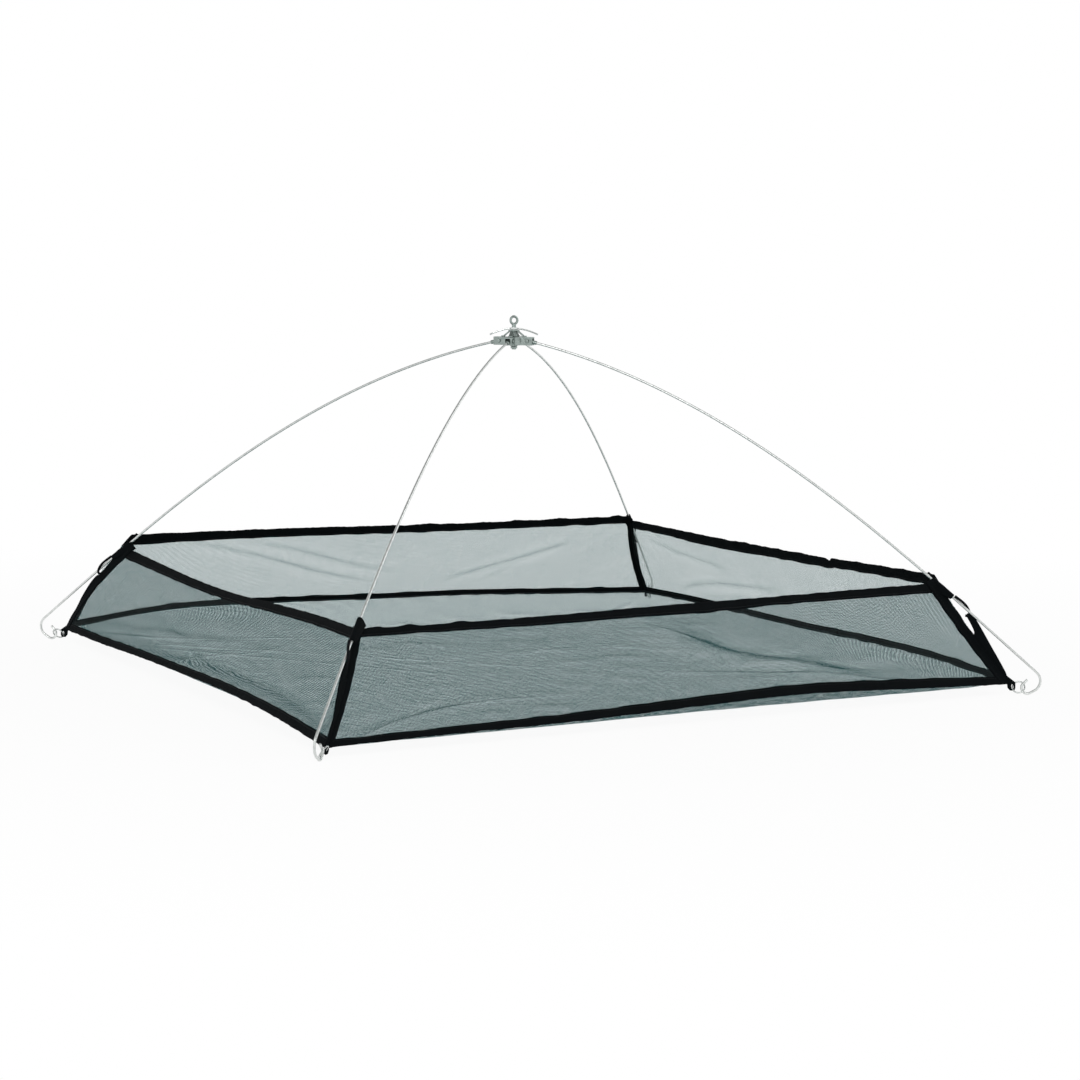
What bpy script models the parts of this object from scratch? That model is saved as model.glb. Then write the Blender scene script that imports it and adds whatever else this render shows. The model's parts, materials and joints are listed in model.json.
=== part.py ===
"""Umbrella lift net: four sprung wire arms, riveted into a pressed steel crown, hold a square net open.

Units are metres and +Z is up. The net stands on the floor at z = 0, centred on the Z axis, with its
sides along X and Y. Each arm runs out along a diagonal, hooks into a ring at a lower corner of the
net, and folds down on a rivet in the crown.
"""

import bmesh
import bpy
from math import atan2, ceil, cos, pi, radians, sin, sqrt
from mathutils import Matrix, Vector

# The net: a square floor with four low walls that lean inwards.
BASE_SIDE = 1.0
TOP_SIDE = 0.847
WALL_RISE = 0.126
# How high each side's tapes hang over the straight lines between the corners, in millimetres at
# even steps along the side: the lower tape and the upper one.
TAPE_RISE = {
    "front": ((-2.5, 0.5, 3.0, 8.5, 12.8, 7.2, -0.5), (-2.3, -2.3, -2.3, -0.4, 0.8, 2.6, 4.0)),
    "right": ((-0.5, 8.6, 9.0, 5.4, 4.0, 2.8, -1.5), (15.0, 11.5, 7.2, 4.9, 2.9, 2.5, 2.1)),
    "back": ((-1.5, 6.2, 14.0, 17.6, 21.6, 21.5, 3.5), (9.0, 8.6, 7.6, 7.6, 8.0, 18.0, 21.5)),
    "left": ((2.5, 5.0, 9.5, 12.1, 13.6, 9.0, -2.5), (-1.0, -7.3, -12.4, -13.2, -8.5, -4.4, -3.2)),
}
TAPE_THICK = 0.0016
BASE_TAPE = (-0.020, 0.050)  # the lower tape's edges, in shares of the wall's slope
TOP_TAPE = (0.912, 1.0)
WALL_NET = (0.066, 0.896)
CORNER_TAPE = (-0.020, 1.035)
CORNER_FLANGE = 0.009
CORNER_STEPS = 6
# Doubled tape that stands out from a corner's seam and ends below the arm: the points of its outer
# and inner edges, as shares of the wall's height and distances out from the seam.
STRIP_OUTER = ((0.0, 0.0005), (0.17, 0.0060), (0.42, 0.0165), (0.56, 0.0200), (0.66, 0.0195))
STRIP_INNER = ((0.67, 0.0115), (0.60, 0.0060), (0.52, -0.0010), (0.0, -0.0030))
# Hood: the upper end of a corner tape, which goes over the arm. Its two ends are distances from the
# Z axis and how far the sides reach below the wire's centre there. Its section is half widths and
# heights above the wire's centre.
HOOD_ENDS = ((0.5965, 0.0135), (0.6270, 0.0035))
HOOD_OUTER = ((0.0052, 0.0015), (0.0026, 0.0046))
HOOD_INNER = ((0.0036, 0.0008), (0.0016, 0.0030))
HOOD_SIDES = (0.0060, 0.0044)  # half widths at the lower edge, outside and inside
TAPE_STEPS = 12
SEAM_GAP = 0.0004

# The netting is shown by coarse lattices, because its true mesh is far too fine for a solid.
STRAND = 0.003
WALL_CELLS = (12, 2)
FLOOR_ROWS = 6
FLOOR_EDGE_Y = 0.4950
FLOOR_APEX_Y = 0.016
FLOOR_REST_Z = 0.0026
FLOOR_SEAM_INSET = 0.004
FLOOR_CORNER_REACH = 0.040  # nearer the corners the floor's edge falls back to the corners' height

# The arms are straight spring wire, bent into a curve by the pull of the net, like a cantilever.
WIRE_RADIUS = 0.0017
PIVOT_RADIUS = 0.021
PIVOT_RISE = 0.4474  # above the net's lower corners
ARM_LENGTH = 0.8523
ROOT_SLOPE = radians(12.0)
ARM_BEND = radians(28.3)
ARM_STEPS = 22
HOOK_BEND = (0.0155, radians(108))  # radius and turn of the hook's first bend
HOOK_STRAIGHT = 0.007
HOOK_RETURN = (0.0078, radians(165))
HOOK_NOSE = 0.008
HOOK_STEP = radians(18)

# Crown, heights from the line of the rivets.
CROWN_TOP = 0.0055
CROWN_BASE = -0.0060
CROWN_REACH = 0.0285
CROWN_DISC = 0.0140
CHANNEL_WIDTH = 0.0114
SLOT_WIDTH = 0.0072
SLOT_ROOF = 0.0038
SLOT_START = 0.0145
RIVET_RADIUS = 0.0015
RIVET_HEAD = 0.0026
RIVET_HEAD_THICK = 0.0012
KNUCKLE_EYE = 0.0031
KNUCKLE_SLEEVE = 0.0028
KNUCKLE_LENGTH = 0.013
KNUCKLE_SOCKET = 0.0055
KNUCKLE_WIDTH = 0.0064
TOUCH_GAP = 0.0003

# Centre stack, heights from the line of the rivets.
SHANK_RADIUS = 0.0030
SHANK_BASE = -0.0122
SHANK_TOP = 0.0240
EYE_CENTRE = 0.0288
EYE_RADIUS = 0.0053
EYE_WIRE = 0.0018
SPACER_FLATS = 0.0086
SPACER_TOP = 0.0135
CAP_PLATE = (0.0138, 0.0152)
CAP_RADIUS = 0.0080
CAP_LEG_WIDTH = 0.0060
CAP_FOOT = (0.0135, 0.0183)
WING_NUT = (0.0155, 0.0190)
WING_NUT_RADIUS = 0.0050
WING_REACH = 0.0340
WING_DROOP = 0.0085
WING_WIRE = 0.0011
WING_CURL = 1.7  # the power of the reach by which a wing droops
WING_STEPS = 6
WING_BEARING = radians(-28)
WASHER = (-0.0073, -0.0063)
WASHER_RADIUS = 0.0054
BASE_NUT = (-0.0108, -0.0076)
BASE_NUT_FLATS = 0.0082

# Corner rings: each links a hook to the tab at a corner of the net.
RING_RADIUS = 0.0083
RING_WIRE = 0.0010
RING_CENTRE = 0.7209  # from the Z axis, along the diagonal
RING_DROP = -0.0072
RING_TILT = radians(35)
TAB_REACH = (0.6990, 0.7158)
TAB_HEIGHT = (-0.0124, 0.0030)
TAB_THICK = 0.0016
TAB_SLOT = (0.0015, 0.0036)  # half its width and half its height

# Cord loops: each runs from a hood along its arm and winds round it, to end at the top of the strip
# below. Its points are the distance from the Z axis, the angle round the wire from its upper side in
# degrees, and the distance from the wire's centre in touching distances.
CORD_RADIUS = 0.0018
CORD_ROUTE = (
    (0.6300, -26, 1.00),
    (0.6365, -6, 1.00),
    (0.6425, 24, 1.00),
    (0.6480, 64, 1.00),
    (0.6520, 108, 1.00),
    (0.6540, 148, 1.05),
    (0.6540, 176, 1.40),
    (0.6515, 186, 2.00),
)
CORD_STEPS = 2  # straight steps from one point of the route to the next

# The net's sides fold about lines that keep their corners near the arms' hooks.
SIDE_AXIS_OUT = -0.154
SIDE_AXIS_RISE = 0.312

CORNERS = {"front_right": -45, "back_right": 45, "back_left": 135, "front_left": 225}
SIDES = {"front": -90, "right": 0, "back": 90, "left": 180}

HALF_BASE = BASE_SIDE / 2
HALF_TOP = TOP_SIDE / 2
SHANK_BORE = SHANK_RADIUS + TOUCH_GAP
PARTS = "lift_net"


def clear_scene():
    for found in list(bpy.data.objects):
        bpy.data.objects.remove(found, do_unlink=True)


def material(name, colour, roughness, metallic=0.0):
    made = bpy.data.materials.new(name)
    made.use_nodes = True
    shader = made.node_tree.nodes["Principled BSDF"]
    shader.inputs["Base Color"].default_value = (*colour, 1.0)
    shader.inputs["Roughness"].default_value = roughness
    shader.inputs["Metallic"].default_value = metallic
    made.diffuse_color = (*colour, 1.0)
    return made


def add_object(name, data, parent=None, finish=None):
    """Puts a mesh or curve in the parts collection as an object at its parent's origin."""
    made = bpy.data.objects.new(name, data)
    bpy.data.collections[PARTS].objects.link(made)
    made.parent = parent
    if finish and not data.materials:
        data.materials.append(finish)
    return made


def add_axis(name, location, bearing=0.0, parent=None):
    """An empty whose X axis points along the bearing, for pieces that turn about its origin."""
    axis = bpy.data.objects.new(name, None)
    axis.empty_display_size = 0.03
    axis.location = location
    axis.rotation_euler = (0, 0, bearing)
    bpy.data.collections[PARTS].objects.link(axis)
    axis.parent = parent
    return axis


# Shapes

def mesh_from(bm, name, smooth=True):
    bmesh.ops.recalc_face_normals(bm, faces=bm.faces)
    mesh = bpy.data.meshes.new(name)
    bm.to_mesh(mesh)
    bm.free()
    if smooth:
        mesh.shade_smooth()
        mesh.set_sharp_from_angle(angle=radians(35))
    return mesh


def box_shape(low, high, turn=None):
    """A box between two corners, turned about the origin if a matrix is given."""
    bm = bmesh.new()
    bmesh.ops.create_cube(bm, size=1)
    size = Vector(high) - Vector(low)
    middle = (Vector(high) + Vector(low)) / 2
    place = Matrix.Translation(middle) @ Matrix.Diagonal((*size, 1))
    bmesh.ops.transform(bm, matrix=(turn or Matrix()) @ place, verts=bm.verts)
    return mesh_from(bm, "box", smooth=False)


def rod_shape(radius, low, high, sides=20, turn=None):
    """An upright cylinder between two heights, turned about the origin if a matrix is given."""
    bm = bmesh.new()
    bmesh.ops.create_cone(
        bm, cap_ends=True, segments=sides, radius1=radius, radius2=radius, depth=high - low
    )
    place = Matrix.Translation((0, 0, (low + high) / 2))
    bmesh.ops.transform(bm, matrix=(turn or Matrix()) @ place, verts=bm.verts)
    return mesh_from(bm, "rod")


def hex_shape(flats, low, high):
    return rod_shape(flats / sqrt(3), low, high, sides=6)


def combine(shapes, cuts=()):
    """Joins closed meshes into one body, then cuts others from it, and returns one mesh."""
    scene = bpy.context.scene.collection
    base = bpy.data.objects.new("base", shapes[0])
    scene.objects.link(base)
    helpers = [base]
    jobs = [("UNION", shape) for shape in shapes[1:]] + [("DIFFERENCE", shape) for shape in cuts]
    for operation, shape in jobs:
        other = bpy.data.objects.new("tool", shape)
        scene.objects.link(other)
        helpers.append(other)
        step = base.modifiers.new(operation.lower(), "BOOLEAN")
        step.operation = operation
        step.object = other
    bpy.context.view_layer.update()
    ready = base.evaluated_get(bpy.context.evaluated_depsgraph_get())
    made = bpy.data.meshes.new_from_object(ready)
    for helper in helpers:
        bpy.data.objects.remove(helper)
    made.shade_smooth()
    made.set_sharp_from_angle(angle=radians(35))
    return made


def wire_curve(name, points, radius, cyclic=False):
    """A round wire along straight steps between points."""
    curve = bpy.data.curves.new(name, "CURVE")
    curve.dimensions = "3D"
    curve.bevel_depth = radius
    curve.bevel_resolution = 2
    curve.use_fill_caps = not cyclic
    line = curve.splines.new("POLY")
    line.points.add(len(points) - 1)
    for point, place in zip(line.points, points):
        point.co = (*place, 1)
    line.use_cyclic_u = cyclic
    return curve


def curve_shape(curve):
    """A curve's surface as a closed mesh, for joining to other shapes."""
    guide = bpy.data.objects.new("guide", curve)
    bpy.context.scene.collection.objects.link(guide)
    bpy.context.view_layer.update()
    ready = guide.evaluated_get(bpy.context.evaluated_depsgraph_get())
    mesh = bpy.data.meshes.new_from_object(ready)
    bpy.data.objects.remove(guide)
    bm = bmesh.new()
    bm.from_mesh(mesh)
    bmesh.ops.remove_doubles(bm, verts=bm.verts, dist=1e-6)
    return mesh_from(bm, curve.name)


def plate_shape(outline, thickness):
    """A flat plate in the XZ plane, from the (x, z) points of its outline."""
    curve = bpy.data.curves.new("plate", "CURVE")
    curve.dimensions = "2D"
    curve.fill_mode = "BOTH"
    curve.extrude = thickness / 2
    line = curve.splines.new("POLY")
    line.points.add(len(outline) - 1)
    for point, place in zip(line.points, outline):
        point.co = (*place, 0, 1)
    line.use_cyclic_u = True
    plate = curve_shape(curve)
    plate.transform(Matrix.Rotation(pi / 2, 4, "X"))
    return plate


def smooth_line(points, steps):
    """A Catmull-Rom curve through points, as a list of its own points."""
    line = [Vector(point) for point in points]
    ends = [2 * line[0] - line[1]] + line + [2 * line[-1] - line[-2]]
    found = []
    for before, start, end, after in zip(ends, ends[1:], ends[2:], ends[3:]):
        for i in range(steps):
            t = i / steps
            bend = (2 * before - 5 * start + 4 * end - after) * t * t
            bend += (3 * start - before - 3 * end + after) * t**3
            found.append((2 * start + (end - before) * t + bend) / 2)
    return found + [line[-1]]


def grid_mesh(name, place, columns, rows):
    """A sheet of quads, place(u, v) giving each corner for u and v from 0 to 1."""
    bm = bmesh.new()
    bmesh.ops.create_grid(bm, x_segments=columns, y_segments=rows, size=0.5)
    for vert in bm.verts:
        vert.co = place(vert.co.x + 0.5, vert.co.y + 0.5)
    return mesh_from(bm, name, smooth=False)


def add_thickness(piece, thickness):
    solid = piece.modifiers.new("thickness", "SOLIDIFY")
    solid.thickness = thickness
    solid.offset = 0


def add_strands(piece, thickness):
    """Turns each edge of a sheet into a strand, which leaves a gap in each face."""
    lattice = piece.modifiers.new("strands", "WIREFRAME")
    lattice.thickness = thickness
    lattice.use_boundary = True
    lattice.use_even_offset = False
    lattice.use_replace = True


# Geometry of the net and arms

def arm_line():
    """Points of an arm and its hook as (out, up) from the rivet."""
    out, up = 0.0, 0.0
    points = [(out, up)]
    step = ARM_LENGTH / ARM_STEPS
    for i in range(ARM_STEPS):
        share = (i + 0.5) / ARM_STEPS
        slope = ROOT_SLOPE + ARM_BEND * (2 * share - share * share)
        out += step * cos(slope)
        up -= step * sin(slope)
        points.append((out, up))
    heading = -(ROOT_SLOPE + ARM_BEND)
    for radius, turn, straight in ((*HOOK_BEND, HOOK_STRAIGHT), (*HOOK_RETURN, HOOK_NOSE)):
        steps = ceil(turn / HOOK_STEP)
        chord = 2 * radius * sin(turn / steps / 2)
        for _ in range(steps):
            heading -= turn / steps / 2
            out += chord * cos(heading)
            up += chord * sin(heading)
            points.append((out, up))
            heading -= turn / steps / 2
        out += straight * cos(heading)
        up += straight * sin(heading)
        points.append((out, up))
    return points


ARM_LINE = arm_line()
# The hooks stand on the floor, which sets the height of everything else.
PIVOT_Z = WIRE_RADIUS - min(up for _, up in ARM_LINE)
BASE_Z = PIVOT_Z - PIVOT_RISE


def half_side(share):
    """Half the net's width at a share of the wall's slope."""
    return HALF_BASE + (HALF_TOP - HALF_BASE) * share


def tape_rise(heights, along):
    """The height of a tape over its straight line: along runs from -1 to 1 between the corners."""
    place = (along + 1) / 2 * (len(heights) - 1)
    step = min(int(place), len(heights) - 2)
    return (heights[step] + (heights[step + 1] - heights[step]) * (place - step)) / 1000


def side_point(side, along, share):
    """A point of a wall: along runs from -1 to 1 between the seams, share up the slope."""
    half = half_side(share)
    lower, upper = (tape_rise(heights, along) for heights in TAPE_RISE[side])
    up = BASE_Z + WALL_RISE * share + lower * (1 - share) + upper * share
    reach = half - CORNER_FLANGE - SEAM_GAP
    return Vector((half, along * reach, up))


def beside_arm(out, across, over):
    """A point beside an arm, seen from its rivet: across from the wire's centre, and over it."""
    for (out_a, up_a), (out_b, up_b) in zip(ARM_LINE, ARM_LINE[1:]):
        if out_a <= out - PIVOT_RADIUS <= out_b:
            share = (out - PIVOT_RADIUS - out_a) / (out_b - out_a)
            along = Vector((out_b - out_a, 0, up_b - up_a)).normalized()
            centre = Vector((out - PIVOT_RADIUS, 0, up_a + (up_b - up_a) * share))
            return centre + Vector((-along.z * over, across, along.x * over))
    raise ValueError("the arm doesn't reach that far out")


def hood_shape():
    """Tape bent over the wire of an arm, open below."""
    bm = bmesh.new()
    rings = []
    for out, depth in HOOD_ENDS:
        ring = []
        for side, bends in zip(HOOD_SIDES, (HOOD_OUTER, HOOD_INNER)):
            half = [(side, -depth), *bends]
            section = half + [(-across, over) for across, over in reversed(half)]
            ring.append([bm.verts.new(beside_arm(out, *place)) for place in section])
        rings.append(ring)
    (outer_a, inner_a), (outer_b, inner_b) = rings
    for i in range(len(outer_a) - 1):
        bm.faces.new((outer_a[i], outer_a[i + 1], outer_b[i + 1], outer_b[i]))
        bm.faces.new((inner_a[i], inner_a[i + 1], inner_b[i + 1], inner_b[i]))
        bm.faces.new((outer_a[i], outer_a[i + 1], inner_a[i + 1], inner_a[i]))
        bm.faces.new((outer_b[i], outer_b[i + 1], inner_b[i + 1], inner_b[i]))
    for i in (0, -1):
        bm.faces.new((outer_a[i], outer_b[i], inner_b[i], inner_a[i]))
    bmesh.ops.recalc_face_normals(bm, faces=bm.faces)
    return mesh_from(bm, "hood", smooth=False)


# Hub

def crown_mesh():
    half = CHANNEL_WIDTH / 2
    bars = [
        box_shape((-CROWN_REACH, -half, CROWN_BASE), (CROWN_REACH, half, CROWN_TOP)),
        box_shape((-half, -CROWN_REACH, CROWN_BASE), (half, CROWN_REACH, CROWN_TOP)),
        rod_shape(CROWN_DISC, CROWN_BASE, CROWN_TOP, sides=32),
    ]
    cuts = [rod_shape(SHANK_BORE, 2 * CROWN_BASE, 2 * CROWN_TOP)]
    for quarter in range(4):
        turn = Matrix.Rotation(quarter * pi / 2, 4, "Z")
        slot = SLOT_WIDTH / 2
        cuts.append(
            box_shape(
                (SLOT_START, -slot, 2 * CROWN_BASE), (2 * CROWN_REACH, slot, SLOT_ROOF), turn
            )
        )
        across = turn @ Matrix.Translation((PIVOT_RADIUS, 0, 0)) @ Matrix.Rotation(pi / 2, 4, "X")
        cuts.append(
            rod_shape(RIVET_RADIUS + TOUCH_GAP, -CHANNEL_WIDTH, CHANNEL_WIDTH, 12, across)
        )
    return combine(bars, cuts)


def eye_bolt_mesh():
    bpy.ops.mesh.primitive_torus_add(
        major_radius=EYE_RADIUS,
        minor_radius=EYE_WIRE,
        major_segments=24,
        minor_segments=8,
        location=(0, 0, EYE_CENTRE),
        rotation=(pi / 2, 0, 0),
    )
    ring = bpy.context.object
    bm = bmesh.new()
    bm.from_mesh(ring.data)
    bmesh.ops.transform(bm, matrix=ring.matrix_world, verts=bm.verts)
    bpy.data.objects.remove(ring)
    shank = rod_shape(SHANK_RADIUS, SHANK_BASE, SHANK_TOP)
    return combine([shank, mesh_from(bm, "eye")])


def bored_mesh(shape):
    return combine([shape], [rod_shape(SHANK_BORE, -1, 1)])


def lock_cap_mesh():
    low, high = CAP_PLATE
    thick = high - low
    shapes = [rod_shape(CAP_RADIUS, low, high)]
    half = CAP_LEG_WIDTH / 2
    foot_low = CROWN_TOP + TOUCH_GAP
    start = Vector((CAP_RADIUS - 2 * thick, 0, (low + high) / 2))
    end = Vector((CAP_FOOT[0] + thick, 0, foot_low + thick / 2))
    run = end - start
    for quarter in range(4):
        turn = Matrix.Rotation(quarter * pi / 2, 4, "Z")
        lean = (
            turn
            @ Matrix.Translation(start)
            @ Matrix.Rotation(-atan2(run.z, run.x), 4, "Y")
        )
        shapes.append(box_shape((0, -half, -thick / 2), (run.length, half, thick / 2), lean))
        shapes.append(
            box_shape((CAP_FOOT[0], -half, foot_low), (CAP_FOOT[1], half, foot_low + thick), turn)
        )
    return combine(shapes, [rod_shape(SHANK_BORE, -1, 1)])


def wing_nut_mesh():
    low, high = WING_NUT
    shapes = [rod_shape(WING_NUT_RADIUS, low, high)]
    middle = (low + high) / 2
    root = WING_NUT_RADIUS - 2 * WING_WIRE
    for hand in (1, -1):
        points = []
        for i in range(WING_STEPS + 1):
            share = i / WING_STEPS
            reach = root + (WING_REACH - root) * share
            points.append((hand * reach, 0, middle - WING_DROOP * share**WING_CURL))
        shapes.append(curve_shape(wire_curve("wing", points, WING_WIRE)))
    return combine(shapes, [rod_shape(SHANK_BORE, -1, 1)])


def rivet_mesh():
    """A riveted pin along Y through one channel."""
    neck = CHANNEL_WIDTH / 2 + TOUCH_GAP
    end = neck + RIVET_HEAD_THICK
    along = Matrix.Rotation(pi / 2, 4, "X")
    shapes = [
        rod_shape(RIVET_RADIUS, -end + TOUCH_GAP, end - TOUCH_GAP, 12, along),
        rod_shape(RIVET_HEAD, neck, end, 16, along),
        rod_shape(RIVET_HEAD, -end, -neck, 16, along),
    ]
    return combine(shapes)


def add_hub(finishes):
    root = add_axis("hub", (0, 0, PIVOT_Z))
    steel = finishes["zinc_steel"]
    crown = add_object("hub_crown", crown_mesh(), root, steel)
    crown.rotation_euler.z = pi / 4
    add_object("eye_bolt", eye_bolt_mesh(), root, steel)
    spacer = hex_shape(SPACER_FLATS, CROWN_TOP + TOUCH_GAP, SPACER_TOP)
    add_object("hub_spacer", bored_mesh(spacer), root, steel)
    add_object("base_washer", bored_mesh(rod_shape(WASHER_RADIUS, *WASHER)), root, steel)
    add_object("base_nut", bored_mesh(hex_shape(BASE_NUT_FLATS, *BASE_NUT)), root, steel)
    pin = rivet_mesh()
    for corner, bearing in CORNERS.items():
        turn = radians(bearing)
        rivet = add_object("rivet_" + corner, pin, root, finishes["rivet_steel"])
        rivet.location = (PIVOT_RADIUS * cos(turn), PIVOT_RADIUS * sin(turn), 0)
        rivet.rotation_euler.z = turn
    cap = add_object("lock_cap", lock_cap_mesh(), root, steel)
    cap.rotation_euler.z = pi / 4
    nut = add_object("wing_nut", wing_nut_mesh(), root, finishes["bright_zinc"])
    nut.rotation_euler.z = WING_BEARING


# Arms, each built along +X from its rivet

def knuckle_mesh():
    half = KNUCKLE_WIDTH / 2
    across = Matrix.Rotation(pi / 2, 4, "X")
    outward = Matrix.Rotation(pi / 2 + ROOT_SLOPE, 4, "Y")
    eye = rod_shape(KNUCKLE_EYE, -half, half, 16, across)
    sleeve = rod_shape(KNUCKLE_SLEEVE, 0, KNUCKLE_LENGTH, 12, outward)
    bore = rod_shape(RIVET_RADIUS + TOUCH_GAP, -2 * half, 2 * half, 12, across)
    socket = rod_shape(
        WIRE_RADIUS + TOUCH_GAP, KNUCKLE_SOCKET, 2 * KNUCKLE_LENGTH, 12, outward
    )
    return combine([eye, sleeve], [bore, socket])


def arm_curve():
    """The sprung wire, from inside the knuckle's socket to the end of its hook."""
    start = KNUCKLE_SOCKET + TOUCH_GAP
    first = (start * cos(ROOT_SLOPE), 0, -start * sin(ROOT_SLOPE))
    points = [first] + [(out, 0, up) for out, up in ARM_LINE[1:]]
    return wire_curve("arm", points, WIRE_RADIUS)


def corner_tape_mesh():
    """Flanges on the corner seam, a hood and a strip outside them, and the ring's slotted tab."""
    low, high = CORNER_TAPE
    bm = bmesh.new()
    rows = []
    for i in range(CORNER_STEPS + 1):
        share = low + (high - low) * i / CORNER_STEPS
        seam = Vector((half_side(share) * sqrt(2) - PIVOT_RADIUS, 0, WALL_RISE * share - PIVOT_RISE))
        back = CORNER_FLANGE / sqrt(2)
        flanges = (Vector((-back, back, 0)), Vector(), Vector((-back, -back, 0)))
        rows.append([bm.verts.new(seam + flange) for flange in flanges])
    for lower, upper in zip(rows, rows[1:]):
        for i in range(2):
            bm.faces.new((lower[i], lower[i + 1], upper[i + 1], upper[i]))
    bmesh.ops.recalc_face_normals(bm, faces=bm.faces)
    bmesh.ops.solidify(bm, geom=bm.faces[:], thickness=TAPE_THICK)
    flanges = mesh_from(bm, "flanges", smooth=False)
    foot = -PIVOT_RISE
    outline = [
        (half_side(share) * sqrt(2) - PIVOT_RADIUS + beyond, foot + WALL_RISE * share)
        for share, beyond in STRIP_OUTER + STRIP_INNER
    ]
    strip = plate_shape(outline, TAB_THICK)
    tab = box_shape(
        (TAB_REACH[0] - PIVOT_RADIUS, -TAB_THICK / 2, foot + TAB_HEIGHT[0]),
        (TAB_REACH[1] - PIVOT_RADIUS, TAB_THICK / 2, foot + TAB_HEIGHT[1]),
    )
    slot_place = (
        Matrix.Translation((RING_CENTRE - RING_RADIUS - PIVOT_RADIUS, 0, foot + RING_DROP))
        @ Matrix.Diagonal((TAB_SLOT[0], 1, TAB_SLOT[1], 1))
        @ Matrix.Rotation(pi / 2, 4, "X")
    )
    slot = rod_shape(1, -2 * TAB_THICK, 2 * TAB_THICK, 16, slot_place)
    return combine([flanges, hood_shape(), strip, tab], [slot])


def cord_loop_curve():
    """Cord from the hood, along the arm and round it, to the top of the strip below."""
    clear = WIRE_RADIUS + CORD_RADIUS + TOUCH_GAP
    points = [
        beside_arm(out, share * clear * sin(radians(angle)), share * clear * cos(radians(angle)))
        for out, angle, share in CORD_ROUTE
    ]
    return wire_curve("cord_loop", smooth_line(points, CORD_STEPS), CORD_RADIUS)


def ring_mesh():
    bpy.ops.mesh.primitive_torus_add(
        major_radius=RING_RADIUS,
        minor_radius=RING_WIRE,
        major_segments=20,
        minor_segments=6,
    )
    torus = bpy.context.object
    mesh = torus.data
    bpy.data.objects.remove(torus)
    mesh.shade_smooth()
    return mesh


def add_arms(finishes):
    """Four arms, sharing their meshes, each under an empty on its rivet."""
    knuckle = knuckle_mesh()
    wire = arm_curve()
    tape = corner_tape_mesh()
    cord = cord_loop_curve()
    ring = ring_mesh()
    for corner, bearing in CORNERS.items():
        turn = radians(bearing)
        place = (PIVOT_RADIUS * cos(turn), PIVOT_RADIUS * sin(turn), PIVOT_Z)
        axis = add_axis("arm_axis_" + corner, place, turn)
        add_object("knuckle_" + corner, knuckle, axis, finishes["zinc_steel"])
        add_object("arm_" + corner, wire, axis, finishes["spring_steel"])
        add_object("corner_tape_" + corner, tape, axis, finishes["tape"])
        add_object("cord_loop_" + corner, cord, axis, finishes["cord"])
        link = (RING_CENTRE - PIVOT_RADIUS, 0, RING_DROP - PIVOT_RISE)
        hinge = add_axis("ring_axis_" + corner, link, parent=axis)
        made = add_object("ring_" + corner, ring, hinge, finishes["ring_steel"])
        made.rotation_euler.x = pi / 2 - RING_TILT


# Net, each side built facing +X and turned to its place

def strip_mesh(side, name, band):
    low, high = band

    def place(u, v):
        return side_point(side, 2 * u - 1, low + (high - low) * v)

    return grid_mesh(name, place, TAPE_STEPS, 1)


def wall_mesh(side):
    low, high = WALL_NET
    columns, rows = WALL_CELLS
    inset = (STRAND / 2 + SEAM_GAP) / HALF_TOP

    def place(u, v):
        along = (2 * u - 1) * (1 - inset)
        return side_point(side, along, low + (high - low) * v)

    return grid_mesh("wall_net", place, columns, rows)


def floor_mesh(side):
    """A quarter of the floor: rows of squares that widen from the centre to the lower tape."""
    bm = bmesh.new()
    pitch = (FLOOR_EDGE_Y - FLOOR_APEX_Y) / FLOOR_ROWS
    rows = []
    for k in range(FLOOR_ROWS + 1):
        out = FLOOR_APEX_Y + k * pitch
        half = out - FLOOR_SEAM_INSET
        count = 2 * k + 1
        row = []
        for j in range(count + 1):
            along = half * (2 * j / count - 1)
            up = FLOOR_REST_Z
            if k == FLOOR_ROWS:
                from_corner = HALF_BASE - abs(along)
                rise = tape_rise(TAPE_RISE[side][0], along / HALF_BASE)
                up = BASE_Z + rise * min(1, from_corner / FLOOR_CORNER_REACH)
            row.append(bm.verts.new((out, along, up)))
        rows.append(row)
    for inner, outer in zip(rows, rows[1:]):
        bm.faces.new((inner[0], outer[0], outer[1]))
        bm.faces.new((inner[-1], outer[-2], outer[-1]))
        for j in range(len(inner) - 1):
            bm.faces.new((inner[j], outer[j + 1], outer[j + 2], inner[j + 1]))
    return mesh_from(bm, "floor_net", smooth=False)


def add_net(finishes):
    """Each side's pieces and its quarter of the floor turn about the side's own axes."""
    for side, bearing in SIDES.items():
        turn = radians(bearing)
        facing = Matrix.Rotation(turn, 4, "Z")
        side_axis = add_axis(
            "side_axis_" + side, facing @ Vector((SIDE_AXIS_OUT, 0, BASE_Z + SIDE_AXIS_RISE)), turn
        )
        floor_axis = add_axis(
            "floor_axis_" + side, facing @ Vector((HALF_BASE, 0, BASE_Z)), turn
        )
        pieces = (
            ("wall_net_", wall_mesh(side), side_axis, "netting"),
            ("top_tape_", strip_mesh(side, "top_tape", TOP_TAPE), side_axis, "tape"),
            ("base_tape_", strip_mesh(side, "base_tape", BASE_TAPE), side_axis, "tape"),
            ("floor_net_", floor_mesh(side), floor_axis, "netting"),
        )
        for prefix, mesh, axis, finish in pieces:
            to_axis = Matrix.Rotation(-turn, 4, "Z") @ Matrix.Translation(-axis.location)
            mesh.transform(to_axis @ facing)
            made = add_object(prefix + side, mesh, axis, finishes[finish])
            if finish == "tape":
                add_thickness(made, TAPE_THICK)
            else:
                add_strands(made, STRAND)


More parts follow.
